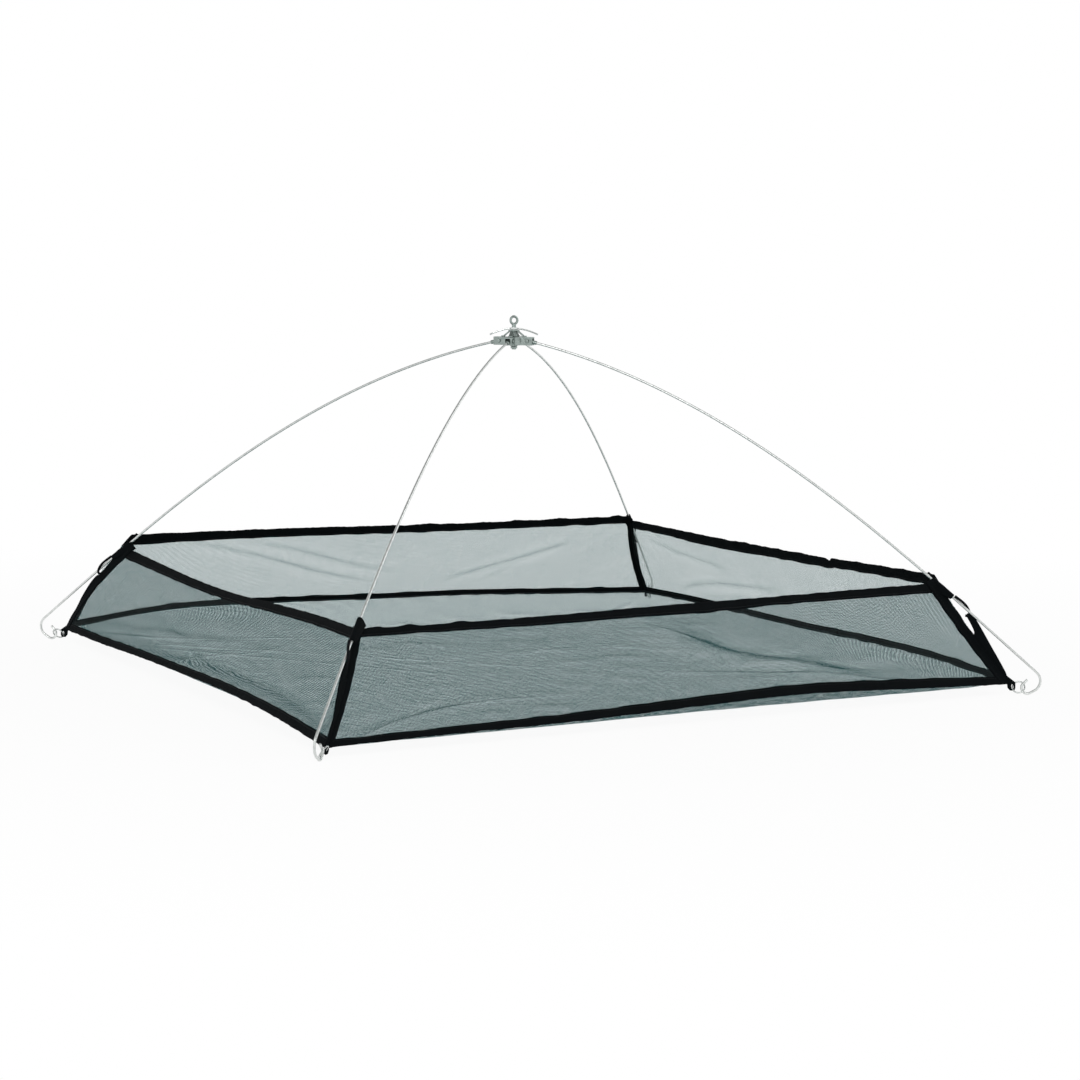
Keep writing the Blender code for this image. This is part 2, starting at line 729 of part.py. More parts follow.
def main():
    clear_scene()
    parts = bpy.data.collections.new(PARTS)
    bpy.context.scene.collection.children.link(parts)
    finishes = {
        "zinc_steel": material("zinc_steel", (0.42, 0.46, 0.45), 0.38, 0.9),
        "rivet_steel": material("rivet_steel", (0.45, 0.46, 0.46), 0.35, 0.9),
        "bright_zinc": material("bright_zinc", (0.72, 0.74, 0.74), 0.30, 0.8),
        "spring_steel": material("spring_steel", (0.50, 0.52, 0.52), 0.32, 0.95),
        "ring_steel": material("ring_steel", (0.55, 0.57, 0.57), 0.28, 0.95),
        "tape": material("tape", (0.006, 0.008, 0.010), 0.85),
        "cord": material("cord", (0.008, 0.009, 0.010), 0.80),
        "netting": material("netting", (0.012, 0.018, 0.020), 0.75),
    }
    add_hub(finishes)
    add_arms(finishes)
    add_net(finishes)
    print("rivets at z", round(PIVOT_Z, 5), "lower corners at z", round(BASE_Z, 5))


main()
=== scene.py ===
"""The looks of a folding umbrella lift net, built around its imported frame.

Units are metres and +Z is up. The net is a square with its sides along X and Y. Its arms run out along
the diagonals from a steel hub over the middle, and hook into rings at the net's lower corners.
"""

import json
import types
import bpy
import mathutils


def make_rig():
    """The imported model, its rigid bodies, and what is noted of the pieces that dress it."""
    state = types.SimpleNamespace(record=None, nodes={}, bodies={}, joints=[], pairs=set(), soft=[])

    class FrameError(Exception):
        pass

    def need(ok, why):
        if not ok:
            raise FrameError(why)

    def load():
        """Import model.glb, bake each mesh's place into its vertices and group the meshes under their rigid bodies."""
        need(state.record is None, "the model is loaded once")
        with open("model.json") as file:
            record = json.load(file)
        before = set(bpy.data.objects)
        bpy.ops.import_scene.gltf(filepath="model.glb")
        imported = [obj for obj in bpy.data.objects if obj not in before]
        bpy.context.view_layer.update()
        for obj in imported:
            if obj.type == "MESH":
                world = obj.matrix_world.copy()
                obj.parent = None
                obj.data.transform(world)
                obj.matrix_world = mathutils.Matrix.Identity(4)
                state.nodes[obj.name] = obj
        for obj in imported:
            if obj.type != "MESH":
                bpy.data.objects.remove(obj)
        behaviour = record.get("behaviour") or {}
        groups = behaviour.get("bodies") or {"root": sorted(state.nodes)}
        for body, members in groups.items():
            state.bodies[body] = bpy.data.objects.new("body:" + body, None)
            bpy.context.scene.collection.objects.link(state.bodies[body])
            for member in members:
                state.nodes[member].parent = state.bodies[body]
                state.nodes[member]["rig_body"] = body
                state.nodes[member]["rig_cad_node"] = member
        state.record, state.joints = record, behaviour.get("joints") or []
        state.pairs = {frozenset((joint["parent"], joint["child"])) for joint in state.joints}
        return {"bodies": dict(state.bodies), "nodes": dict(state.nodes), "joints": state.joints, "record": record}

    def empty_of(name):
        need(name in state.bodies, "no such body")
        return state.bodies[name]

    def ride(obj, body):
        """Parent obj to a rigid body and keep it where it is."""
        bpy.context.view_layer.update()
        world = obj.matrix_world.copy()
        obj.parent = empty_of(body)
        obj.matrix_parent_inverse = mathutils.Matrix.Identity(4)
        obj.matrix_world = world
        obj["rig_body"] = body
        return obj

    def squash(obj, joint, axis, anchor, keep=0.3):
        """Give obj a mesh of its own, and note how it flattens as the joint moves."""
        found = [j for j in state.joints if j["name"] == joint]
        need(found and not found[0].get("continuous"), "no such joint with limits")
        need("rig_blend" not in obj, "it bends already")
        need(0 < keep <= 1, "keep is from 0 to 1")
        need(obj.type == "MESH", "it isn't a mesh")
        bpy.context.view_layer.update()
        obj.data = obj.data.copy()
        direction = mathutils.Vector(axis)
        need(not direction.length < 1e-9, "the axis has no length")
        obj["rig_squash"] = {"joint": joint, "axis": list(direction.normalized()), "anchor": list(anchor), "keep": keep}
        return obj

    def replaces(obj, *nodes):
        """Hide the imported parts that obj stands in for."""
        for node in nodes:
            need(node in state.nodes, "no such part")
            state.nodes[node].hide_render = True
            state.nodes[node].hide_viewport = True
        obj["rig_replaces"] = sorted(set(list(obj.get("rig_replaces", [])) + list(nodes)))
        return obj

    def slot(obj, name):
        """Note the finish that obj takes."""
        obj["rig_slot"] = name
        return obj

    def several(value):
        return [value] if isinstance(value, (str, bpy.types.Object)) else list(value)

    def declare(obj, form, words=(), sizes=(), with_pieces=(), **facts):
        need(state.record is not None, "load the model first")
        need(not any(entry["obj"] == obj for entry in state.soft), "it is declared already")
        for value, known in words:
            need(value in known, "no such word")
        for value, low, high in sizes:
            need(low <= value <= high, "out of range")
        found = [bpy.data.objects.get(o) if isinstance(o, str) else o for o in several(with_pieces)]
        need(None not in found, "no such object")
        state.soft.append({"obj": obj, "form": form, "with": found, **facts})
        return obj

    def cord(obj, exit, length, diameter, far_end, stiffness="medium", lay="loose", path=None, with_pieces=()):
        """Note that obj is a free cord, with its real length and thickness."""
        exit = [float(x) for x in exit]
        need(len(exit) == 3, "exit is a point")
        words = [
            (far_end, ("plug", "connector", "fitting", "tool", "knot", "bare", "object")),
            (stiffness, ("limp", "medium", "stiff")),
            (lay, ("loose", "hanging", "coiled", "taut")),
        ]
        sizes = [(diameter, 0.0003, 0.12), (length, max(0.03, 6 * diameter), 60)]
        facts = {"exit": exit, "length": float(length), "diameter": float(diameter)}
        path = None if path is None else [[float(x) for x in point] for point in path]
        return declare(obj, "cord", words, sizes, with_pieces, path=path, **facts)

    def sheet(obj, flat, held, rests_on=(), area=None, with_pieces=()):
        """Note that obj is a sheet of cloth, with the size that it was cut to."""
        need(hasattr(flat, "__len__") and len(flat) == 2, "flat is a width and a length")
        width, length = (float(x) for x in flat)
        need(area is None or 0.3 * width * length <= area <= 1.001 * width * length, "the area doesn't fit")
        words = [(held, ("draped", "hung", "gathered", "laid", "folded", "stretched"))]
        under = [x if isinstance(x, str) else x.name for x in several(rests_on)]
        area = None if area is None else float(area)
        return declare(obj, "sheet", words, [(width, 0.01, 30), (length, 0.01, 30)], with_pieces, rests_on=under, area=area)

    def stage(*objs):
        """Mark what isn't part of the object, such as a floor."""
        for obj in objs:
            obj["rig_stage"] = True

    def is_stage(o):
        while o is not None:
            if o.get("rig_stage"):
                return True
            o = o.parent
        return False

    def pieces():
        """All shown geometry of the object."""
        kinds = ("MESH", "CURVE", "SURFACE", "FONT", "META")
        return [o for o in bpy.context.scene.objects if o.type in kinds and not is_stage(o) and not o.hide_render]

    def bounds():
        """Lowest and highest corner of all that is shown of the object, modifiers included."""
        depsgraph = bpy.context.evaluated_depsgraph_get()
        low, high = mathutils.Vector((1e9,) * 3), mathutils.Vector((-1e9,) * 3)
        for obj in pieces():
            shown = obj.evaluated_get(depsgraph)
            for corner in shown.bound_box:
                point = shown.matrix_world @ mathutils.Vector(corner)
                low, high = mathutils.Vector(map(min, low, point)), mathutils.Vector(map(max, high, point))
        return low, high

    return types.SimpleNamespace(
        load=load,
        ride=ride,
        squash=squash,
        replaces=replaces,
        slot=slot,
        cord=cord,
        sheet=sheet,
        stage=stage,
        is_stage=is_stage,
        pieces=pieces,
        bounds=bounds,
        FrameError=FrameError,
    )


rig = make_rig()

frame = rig.load()

import json
from math import ceil, cos, hypot, pi, radians, sin, sqrt

import bpy
import numpy as np
from bpy.props import FloatProperty, FloatVectorProperty, PointerProperty
from bpy.types import Operator, Panel, PropertyGroup
from mathutils import Matrix, Vector

bl_info = {
    "name": "Umbrella lift net",
    "version": (1, 0, 0),
    "blender": (4, 5, 0),
    "location": "View3D > Sidebar > Lift net",
    "description": "Builds the netting, tapes, arms and hub of a folding lift net around its frame",
    "category": "Object",
}

CAD_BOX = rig.bounds()
JOINTS = {joint["name"]: joint for joint in frame["joints"]}
CORNERS = {"front_right": -45, "back_right": 45, "back_left": 135, "front_left": 225}
SIDES = {"front": -90, "right": 0, "back": 90, "left": 180}

# Places that the frame's joints give.
HALF_BASE = JOINTS["fold_floor_right"]["pos_m"][0]
BASE_Z = JOINTS["fold_floor_right"]["pos_m"][2]
PIVOT_RADIUS = hypot(*JOINTS["fold_back_right"]["pos_m"][:2])
PIVOT_Z = JOINTS["fold_back_right"]["pos_m"][2]
RING_CENTRE = hypot(*JOINTS["ring_swing_back_right"]["pos_m"][:2])
RING_Z = JOINTS["ring_swing_back_right"]["pos_m"][2]

# How high each side's tapes hang over the straight lines between the corners, in millimetres at
# even steps along the side: the lower tape and the upper one.
TAPE_RISE = {
    "front": ((-2.5, 0.5, 3.0, 8.5, 12.8, 7.2, -0.5), (-4.1, -4.3, -3.3, -1.0, 0.0, 1.6, 3.6)),
    "right": ((-0.5, 8.6, 9.0, 5.4, 4.0, 2.8, -1.5), (15.5, 12.5, 8.2, 5.9, 3.9, 3.5, 2.6)),
    "back": ((-1.5, 6.2, 14.0, 17.6, 22.0, 22.5, 4.0), (9.0, 10.5, 11.6, 14.4, 18.0, 20.0, 21.5)),
    "left": ((3.0, 5.0, 9.5, 12.1, 13.6, 9.0, -2.5), (-1.0, -7.3, -12.4, -13.2, -8.5, -4.4, -3.2)),
}

# How wide each tape lies, as (place along the side from -1 to 1, share of its flat width): the lower
# tape and the upper one.
TAPE_WIDTHS = {
    "front": (
        ((-1.0, 0.90), (-0.8, 0.85), (-0.6, 1.0), (0.0, 1.30), (0.3, 1.45), (0.7, 1.40), (1.0, 1.0)),
        ((-1.0, 0.80), (-0.8, 0.75), (-0.4, 0.92), (-0.1, 1.0), (0.15, 1.20), (0.4, 0.95), (1.0, 1.0)),
    ),
    "right": (
        ((-1.0, 1.30), (1.0, 1.25)),
        ((-1.0, 1.30), (-0.40, 1.25), (-0.38, 1.40), (0.0, 1.35), (0.25, 1.50), (0.55, 1.48),
         (0.7, 1.20), (1.0, 1.15)),
    ),
    "back": (((-1.0, 1.08), (1.0, 1.08)), ((-1.0, 1.0), (-0.3, 1.1), (0.3, 1.2), (1.0, 1.30))),
    "left": (((-1.0, 1.10), (1.0, 1.25)), ((-1.0, 1.05), (1.0, 1.05))),
}
TAPE_BAND = 1.04  # makes up for the tapes' rounded edges
TAPE_REACH = 0.997  # the share of a side's length that its tapes cover
LOWER_TAPE_MIDDLE = 0.014  # where the lower tapes' middles lie, in shares of the wall's slope

# How uneven a tape is, as (height, length of the swells): its folded edge in long waves and in small
# lumps, its edge at the netting, its twist, and the ripple of its face.
FOLDED_EDGE_WAVES = (0.0006, 0.045)
FOLDED_EDGE_LUMPS = (0.0007, 0.017)
NETTING_EDGE_WAVES = (0.0007, 0.060)
TAPE_TWIST = (0.0012, 0.080)
TAPE_RIPPLE = (0.0003, 0.012)
TAPE_END = 0.02  # the share of a tape's length over which it settles into the corner

# Lumps and one notch on the folded edges of the upper tapes, as (metres along, half length, height).
TAPE_LUMPS = {
    "front": ((-0.397, 0.010, 0.0020), (-0.356, 0.008, 0.0024), (-0.287, 0.012, 0.0020)),
    "right": ((-0.167, 0.005, -0.0045), (-0.150, 0.020, -0.0012), (0.060, 0.014, 0.0014)),
    "back": (
        (-0.400, 0.010, 0.0028), (-0.300, 0.012, 0.0014), (-0.220, 0.010, 0.0016), (-0.070, 0.016, 0.0016)
    ),
    "left": ((0.120, 0.014, 0.0012),),
}

# How far each corner's seam leans at its top and bows between its ends. Each is a pair: out along the
# diagonal, and across it towards the next side, anticlockwise. The walls follow it near the corner.
SEAM_SHIFTS = {
    "front_right": ((0.0045, 0.0), (-0.0028, 0.0)),
    "back_right": ((0.0, -0.0035), (0.0, 0.0058)),
    "back_left": ((0.0, 0.0), (0.0100, 0.0)),
    "front_left": ((0.0, -0.0055), (0.0, 0.0035)),
}
SEAM_PULL_REACH = 0.075  # how far along a wall its seam's lean and bow are felt

# Folds in the walls, each with its height, half its width, the share of the mesh's spacing that it
# takes up at its crest, and its points as (metres along, share up). FOLD_ENDS is how fast a fold
# rises from its ends.
FOLD_ENDS = 1.6
WALL_FOLDS = {
    "front": [
        (0.0012, 0.009, 0.50, [(-0.480, 0.05), (-0.440, 0.11), (-0.369, 0.20), (-0.290, 0.27)]),
        (0.0006, 0.012, 0.22, [(-0.480, 0.90), (-0.400, 0.84), (-0.250, 0.78), (-0.100, 0.76)]),
        (0.0006, 0.010, 0.25, [(0.000, 0.30), (0.120, 0.19), (0.250, 0.14), (0.380, 0.16)]),
        (0.0004, 0.009, 0.20, [(0.050, 0.44), (0.160, 0.35), (0.300, 0.31)]),
    ],
    "right": [
        (0.0010, 0.010, 0.35, [(0.372, 0.10), (0.300, 0.25), (0.180, 0.36), (0.024, 0.42)]),
        (0.0006, 0.009, 0.25, [(0.300, 0.08), (0.200, 0.18), (0.080, 0.24)]),
        (0.0006, 0.010, 0.25, [(0.400, 0.80), (0.300, 0.66), (0.160, 0.58)]),
    ],
    "back": [
        (0.0008, 0.010, 0.35, [(0.350, 0.93), (0.216, 0.66), (0.100, 0.38), (0.000, 0.24)]),
        (0.0006, 0.010, 0.28, [(0.240, 0.86), (0.145, 0.70), (0.042, 0.47), (-0.042, 0.35)]),
        (0.0008, 0.010, 0.34, [(-0.118, 0.22), (-0.186, 0.36), (-0.283, 0.58), (-0.340, 0.72)]),
        (0.0004, 0.010, 0.22, [(-0.188, 0.20), (-0.236, 0.38)]),
    ],
    "left": [
        (0.0006, 0.010, 0.34, [(-0.430, 0.16), (-0.296, 0.24), (-0.050, 0.40), (0.200, 0.60)]),
        (0.0004, 0.009, 0.25, [(-0.216, 0.62), (-0.100, 0.74), (0.020, 0.80)]),
        (0.0004, 0.012, 0.24, [(-0.343, 0.50), (-0.200, 0.46), (-0.020, 0.30), (0.120, 0.12)]),
        (0.0008, 0.016, 0.45, [(0.480, 0.08), (0.380, 0.14), (0.200, 0.16), (0.020, 0.12), (-0.200, 0.08)]),
    ],
}

# The width of each wall's strands as a share of the wall strand: slack netting looks heavier.
STRAND_SHARES = {"front": 0.82, "right": 1.0, "back": 1.0, "left": 0.94}

# The share of the rows' spacing that is taken up near a wall's foot, where slack netting gathers.
FOOT_GATHER = {"front": 0.10, "right": 0.08, "back": 0.06, "left": 0.58}

# How far the netting strays from true, as (distance, length of the swells): a wall's strands across
# and up, a wall's face in long and short swells, the floor's strands, and the floor's slack.
WALL_DRIFT = ((0.0003, 0.060), (0.0002, 0.050))
WALL_BELLY = ((0.0013, 0.160), (0.0002, 0.022))
FLOOR_DRIFT = (0.0005, 0.060)
FLOOR_SLACK = ((0.0012, 0.110), (0.0002, 0.030))
FLOOR_EDGE_HOLD = 0.012  # how far in from its lower tapes the floor is held still

# Folds in the floor, in the same way, with points as (x, y): creases that spread from the corners,
# and the broad swell of slack netting at the right.
FLOOR_FOLDS = [
    (0.0010, 0.006, 0.50, [(-0.470, 0.478), (-0.390, 0.450), (-0.291, 0.400), (-0.112, 0.334)]),
    (0.0012, 0.005, 0.55, [(-0.470, 0.466), (-0.300, 0.290), (-0.120, 0.105), (0.060, -0.080)]),
    (0.0010, 0.005, 0.50, [(-0.470, 0.440), (-0.330, 0.250), (-0.200, 0.070), (-0.090, -0.080)]),
    (0.0010, 0.006, 0.45, [(-0.440, 0.227), (-0.368, 0.254), (-0.289, 0.254), (-0.199, 0.325)]),
    (0.0016, 0.052, 0.52, [
        (0.420, -0.330), (0.400, -0.250), (0.387, -0.163), (0.349, -0.085), (0.348, 0.050), (0.416, 0.264)
    ]),
    (0.0010, 0.012, 0.35, [(0.470, -0.450), (0.352, -0.270), (0.132, -0.136)]),
    (0.0008, 0.010, 0.30, [(0.352, 0.070), (0.357, 0.201), (0.360, 0.269)]),
    (0.0008, 0.008, 0.40, [(-0.450, -0.440), (-0.330, -0.330), (-0.200, -0.260), (-0.020, -0.250)]),
    (0.0008, 0.008, 0.35, [(-0.470, -0.400), (-0.380, -0.240), (-0.330, -0.080)]),
    (0.0008, 0.010, 0.35, [(0.450, 0.460), (0.330, 0.370), (0.160, 0.330)]),
]
FLOOR_REST_Z = 0.0016
FLOOR_LIFT_REACH = 0.068  # how far in from a lower tape the floor is held off the ground
FLOOR_LIFT_BLEND = 4  # the power that joins the lifts of two sides smoothly in a corner

# What each soft piece keeps of its length along its side when the net is folded.
WALL_KEEP = 0.19
FLOOR_KEEP = 0.17
UPPER_TAPE_KEEP = 0.25
LOWER_TAPE_KEEP = 0.17

# The arms are straight spring wire, bent into a curve by the pull of the net, like a cantilever.
ARM_LENGTH = 0.8523
ROOT_SLOPE = radians(12.0)
ARM_BEND = radians(28.3)
ARM_STEPS = 66
HOOK_BEND = (0.0155, radians(108))  # radius and turn of the hook's first bend
HOOK_STRAIGHT = 0.007
HOOK_RETURN = (0.0078, radians(165))
HOOK_NOSE = 0.008
HOOK_STEP = radians(6)
KNUCKLE_SOCKET = 0.0058

# Corner pieces. Places along a corner tape are shares of the wall's height, and its rows of stitches
# run at CORNER_STITCH of each half's width. Its waves are (amount, length in shares).
RING_TILT = radians(35)
CORNER_SHARES = (-0.020, 1.012)
CORNER_STITCH = 0.72
CORNER_STITCH_SHARES = (0.02, 0.97)
CORNER_WIDTH_WAVES = (0.06, 0.16)
CORNER_FACE_WAVES = (0.0007, 0.21)
# Width of each half of a corner tape, at its foot and its top.
CORNER_WIDTHS = {
    "front_right": (0.0150, 0.0135),
    "back_right": (0.0088, 0.0062),
    "back_left": (0.0125, 0.0088),
    "front_left": (0.0070, 0.0078),
}
# The strip of doubled tape that stands out from a corner's seam and ends below the arm: the points of
# its outer and inner edges, as shares of the wall's height and distances out from the seam.
STRIP_OUTER = (
    (0.06, 0.0030), (0.17, 0.0065), (0.30, 0.0125), (0.42, 0.0175), (0.52, 0.0200), (0.60, 0.0212),
    (0.66, 0.0205), (0.672, 0.0170), (0.675, 0.0130),
)
STRIP_INNER = (
    (0.655, 0.0100), (0.60, 0.0062), (0.55, 0.0020), (0.52, -0.0010), (0.25, -0.0022), (0.0, -0.0030),
)
# The strip at the right stands up to the arm's wire, clear of the seam over its upper half.
TALL_STRIP_OUTER = (
    (0.06, 0.0040), (0.12, 0.0072), (0.35, 0.0150), (0.52, 0.0206), (0.62, 0.0238), (0.69, 0.0262),
    (0.712, 0.0262), (0.718, 0.0240),
)
TALL_STRIP_INNER = (
    (0.70, 0.0168), (0.60, 0.0126), (0.53, 0.0092), (0.49, 0.0050), (0.46, -0.0010), (0.25, -0.0022),
    (0.0, -0.0030),
)
# The tab at the strip's foot, as distances from the Z axis and heights over the lower tapes' line,
# and half the width and height of its slot.
TAB_OUTLINE = (
    (0.7062, -0.0085), (0.7094, -0.0120), (0.7150, -0.0122), (0.7165, -0.0090), (0.7163, -0.0010),
)
TAB_SLOT = (0.0018, 0.0040)
STRIP_HALF_DEPTH = 0.0010
STRIP_EDGE = 0.0002  # how far its edges are rounded
STRIP_OVERLAP = 0.0020  # how far it reaches in past the seam
STRIP_WAVES = (0.0006, 0.030)
# Hood: the upper end of a corner tape, which goes over the arm. Its two ends are distances from the
# Z axis and how far the sides reach below the wire's centre there.
HOOD_ENDS = ((0.6000, 0.0120), (0.6288, 0.0032))
HOOD_RADIUS = 0.0032
HOOD_SADDLE = 0.45  # the share of the hood's width that lies round the wire
HOOD_SPREAD = 0.0014  # how much wider the hood is at its lower edges
HOOD_CLOTH = (0.0011, 0.034)  # its thickness, and its width laid flat
HOOD_WAVES = (0.0004, 0.30)
# The cord's way as distance from the Z axis, angle round the wire from its upper side, and distance
# from the wire's centre as a share of the distance at which the two touch.
CORD_ROUTE = (
    (0.6300, -26, 1.00), (0.6365, -6, 1.00), (0.6425, 24, 1.00), (0.6480, 64, 1.00),
    (0.6520, 108, 1.00), (0.6540, 148, 1.05), (0.6540, 176, 1.40), (0.6515, 186, 2.00),
)

# The view.
CAMERA_AZIMUTH = radians(-27.39)
CAMERA_ELEVATION = radians(6.905)
CAMERA_ROLL = radians(0.265)
CAMERA_DISTANCE = 4.025
CAMERA_AIM_Z = 0.15 + BASE_Z
CAMERA_SLIDE = (0.0382, 0.0139)  # across and up, in the view's own directions
CAMERA_LENS = 94.2

# Soft lamps, as place, diameter and power.
LAMPS = {
    "key": ((-2.2, -2.6, 3.4), 2.4, 60.0),
    "fill": ((3.0, -1.0, 2.6), 2.4, 22.0),
}


def linear(hex_colour):
    """An sRGB hex colour as linear red, green and blue."""
    parts = [int(hex_colour[i : i + 2], 16) / 255 for i in (1, 3, 5)]
    return tuple(p / 12.92 if p <= 0.04045 else ((p + 0.055) / 1.055) ** 2.4 for p in parts)


def length(label, description, default):
    return FloatProperty(
        name=label, description=description, default=default, min=0.0, precision=5, unit="LENGTH"
    )


def colour(label, description, hex_colour):
    return FloatVectorProperty(
        name=label,
        description=description,
        default=linear(hex_colour),
        size=3,
        min=0.0,
        max=1.0,
        subtype="COLOR",
    )


class LiftNetSizes(PropertyGroup):
    """Sizes of the net that a user may change."""

    top_side: length("Upper opening", "Side of the square between the upper tapes", 0.847)
    wall_rise: length("Wall height", "Height of the upper corners over the lower ones", 0.126)
    mesh_pitch: length("Mesh pitch", "From one strand of the netting to the next", 0.0018)
    strand_step: length("Strand step", "Length of one straight piece of a strand", 0.0045)
    strand_width: length("Wall strand", "Width of a strand in the walls", 0.00060)
    floor_strand: length("Floor strand", "Width of a strand in the floor", 0.00073)
    upper_tape: length("Upper tape width", "Width of the tape round the opening", 0.0134)
    lower_tape: length("Lower tape width", "Width of the tape round the floor", 0.0106)
    tape_depth: length("Tape thickness", "Thickness of the folded tape with the netting in it", 0.0016)
    corner_depth: length("Corner tape thickness", "Thickness of a corner tape over its seam", 0.0030)
    stitch: length("Stitch length", "From one stitch to the next along a tape", 0.0036)
    thread: length("Thread width", "Width of the sewing thread", 0.0006)
    wire: length("Arm wire", "Diameter of the arms' spring wire", 0.0034)
    ring: length("Corner ring", "Radius of a corner ring at the middle of its wire", 0.0083)
    ring_wire: length("Ring wire", "Diameter of a corner ring's wire", 0.0020)
    cord: length("Cord", "Diameter of the cord loops", 0.0036)


class LiftNetColours(PropertyGroup):
    """Colours of the net that a user may change."""

    netting: colour("Netting", "Strands of the netting where light falls on them", "#333B3C")
    netting_glow: colour("Netting glow", "Light that comes through the dyed strands", "#309C9E")
    tape: colour("Tape", "Binding tape of the edges and corners", "#0A0E10")
    thread: colour("Thread", "Sewing thread in the tapes", "#14181A")
    cord: colour("Cord", "Braided cord of the corner loops", "#0C0F11")
    wire: colour("Arm wire", "Zinc-plated spring wire", "#DDE0DE")
    steel: colour("Hub steel", "Zinc-plated pressed steel", "#9DA8A4")
    bright: colour("Wing nut", "Bright zinc plating", "#D4D8D6")
    nickel: colour("Rings", "Nickel plating", "#BEC2C0")


# Meshes

def deselect():
    if bpy.context.object and bpy.context.object.mode != "OBJECT":
        bpy.ops.object.mode_set(mode="OBJECT")
    bpy.ops.object.select_all(action="DESELECT")


def activate(piece):
    deselect()
    piece.select_set(True)
    bpy.context.view_layer.objects.active = piece


def points_of(mesh):
    found = np.empty(len(mesh.vertices) * 3)
    mesh.vertices.foreach_get("co", found)
    return found.reshape(-1, 3)


def move_points(mesh, places):
    mesh.vertices.foreach_set("co", np.ascontiguousarray(places, dtype=float).ravel())
    mesh.update()


def apply_modifiers(piece):
    activate(piece)
    for step in list(piece.modifiers):
        bpy.ops.object.modifier_apply(modifier=step.name)


def settle(piece):
    """Puts the piece's place into its mesh, so that its object sits at the origin."""
    activate(piece)
    bpy.ops.object.transform_apply(location=True, rotation=True, scale=True)
    return piece


def flat_grid(name, columns, rows):
    """A unit grid of faces, each way from 0 to 1, for placing by code."""
    deselect()
    bpy.ops.mesh.primitive_grid_add(
        x_subdivisions=columns, y_subdivisions=rows, size=1, location=(0.5, 0.5, 0)
    )
    piece = bpy.context.object
    piece.name = name
    return settle(piece)


def drop_faces(piece, unwanted):
    """Deletes the faces that a test on their centres picks."""
    mesh = piece.data
    centres = np.empty(len(mesh.polygons) * 3)
    mesh.polygons.foreach_get("center", centres)
    picked = unwanted(centres.reshape(-1, 3))
    activate(piece)
    bpy.ops.object.mode_set(mode="EDIT")
    bpy.ops.mesh.select_mode(type="FACE")
    bpy.ops.mesh.select_all(action="DESELECT")
    bpy.ops.object.mode_set(mode="OBJECT")
    mesh.polygons.foreach_set("select", picked)
    bpy.ops.object.mode_set(mode="EDIT")
    bpy.ops.mesh.delete(type="FACE")
    bpy.ops.object.mode_set(mode="OBJECT")


def solidify(piece, thickness):
    step = piece.modifiers.new("thickness", "SOLIDIFY")
    step.thickness = thickness
    step.offset = 0
    return step


def bevel(piece, width, segments=2, angle=35):
    step = piece.modifiers.new("edges", "BEVEL")
    step.width = width
    step.segments = segments
    step.limit_method = "ANGLE"
    step.angle_limit = radians(angle)


def smooth(piece, angle=40):
    activate(piece)
    bpy.ops.object.shade_smooth_by_angle(angle=radians(angle))


def join(pieces):
    """Joins objects into the first, which keeps its name."""
    deselect()
    for piece in pieces:
        piece.select_set(True)
    bpy.context.view_layer.objects.active = pieces[0]
    bpy.ops.object.join()
    return pieces[0]


def paint(piece, finish):
    piece.data.materials.clear()
    piece.data.materials.append(finish)


def face_outwards(piece):
    activate(piece)
    bpy.ops.object.mode_set(mode="EDIT")
    bpy.ops.mesh.select_all(action="SELECT")
    bpy.ops.mesh.remove_doubles(threshold=1e-6)
    bpy.ops.mesh.normals_make_consistent(inside=False)
    bpy.ops.object.mode_set(mode="OBJECT")


def turned_copy(piece, name, bearing):
    """A copy with its own mesh, turned about the Z axis through the hub."""
    made = piece.copy()
    made.data = piece.data.copy()
    made.name = name
    made.data.name = name
    made.data.transform(Matrix.Rotation(radians(bearing), 4, "Z"))
    bpy.context.scene.collection.objects.link(made)
    return made


def discard(piece):
    bpy.data.objects.remove(piece, do_unlink=True)


def smooth_line(points, steps=8):
    """A Catmull-Rom curve through points, as closely spaced points."""
    line = [Vector(point) for point in points]
    ends = [2 * line[0] - line[1]] + line + [2 * line[-1] - line[-2]]
    found = []
    for before, start, end, after in zip(ends, ends[1:], ends[2:], ends[3:]):
        for i in range(steps):
            t = i / steps
            found.append(
                (
                    2 * start
                    + (end - before) * t
                    + (2 * before - 5 * start + 4 * end - after) * t * t
                    + (3 * start - before - 3 * end + after) * t**3
                )
                / 2
            )
    return found + [line[-1]]


def curve_mesh(name, curve, lines, closed):
    """A curve object through lines of points, turned into a closed mesh."""
    for points in lines:
        line = curve.splines.new("POLY")
        line.points.add(len(points) - 1)
        for point, place in zip(line.points, points):
            point.co = (*place, 1)
        line.use_cyclic_u = closed
    piece = bpy.data.objects.new(name, curve)
    bpy.context.scene.collection.objects.link(piece)
    activate(piece)
    bpy.ops.object.convert(target="MESH")
    piece = bpy.context.object
    face_outwards(piece)
    return piece


def tube(name, points, radius, sides):
    """A round wire or cord through points, as a closed mesh."""
    curve = bpy.data.curves.new(name, "CURVE")
    curve.dimensions = "3D"
    curve.bevel_depth = radius
    curve.bevel_resolution = sides // 4
    curve.use_fill_caps = True
    return curve_mesh(name, curve, [points], closed=False)


def set_uv_metres(piece, u, v):
    """Gives a piece's own UV map real sizes, so that a weave keeps its scale."""
    layer = piece.data.uv_layers.active.data
    corners = np.empty(len(piece.data.loops), dtype=int)
    piece.data.loops.foreach_get("vertex_index", corners)
    layer.foreach_set("uv", np.column_stack([u, v])[corners].ravel())


def attach(piece, body, node, slot):
    """Hangs a finished piece on its body in place of the frame's own node."""
    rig.ride(piece, body)
    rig.replaces(piece, node)
    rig.slot(piece, slot)


# The net's form

def turn_about_z(points, bearing):
    c, s = round(cos(radians(bearing)), 12), round(sin(radians(bearing)), 12)
    x, y, z = points.T
    return np.stack([c * x - s * y, s * x + c * y, z], axis=1)


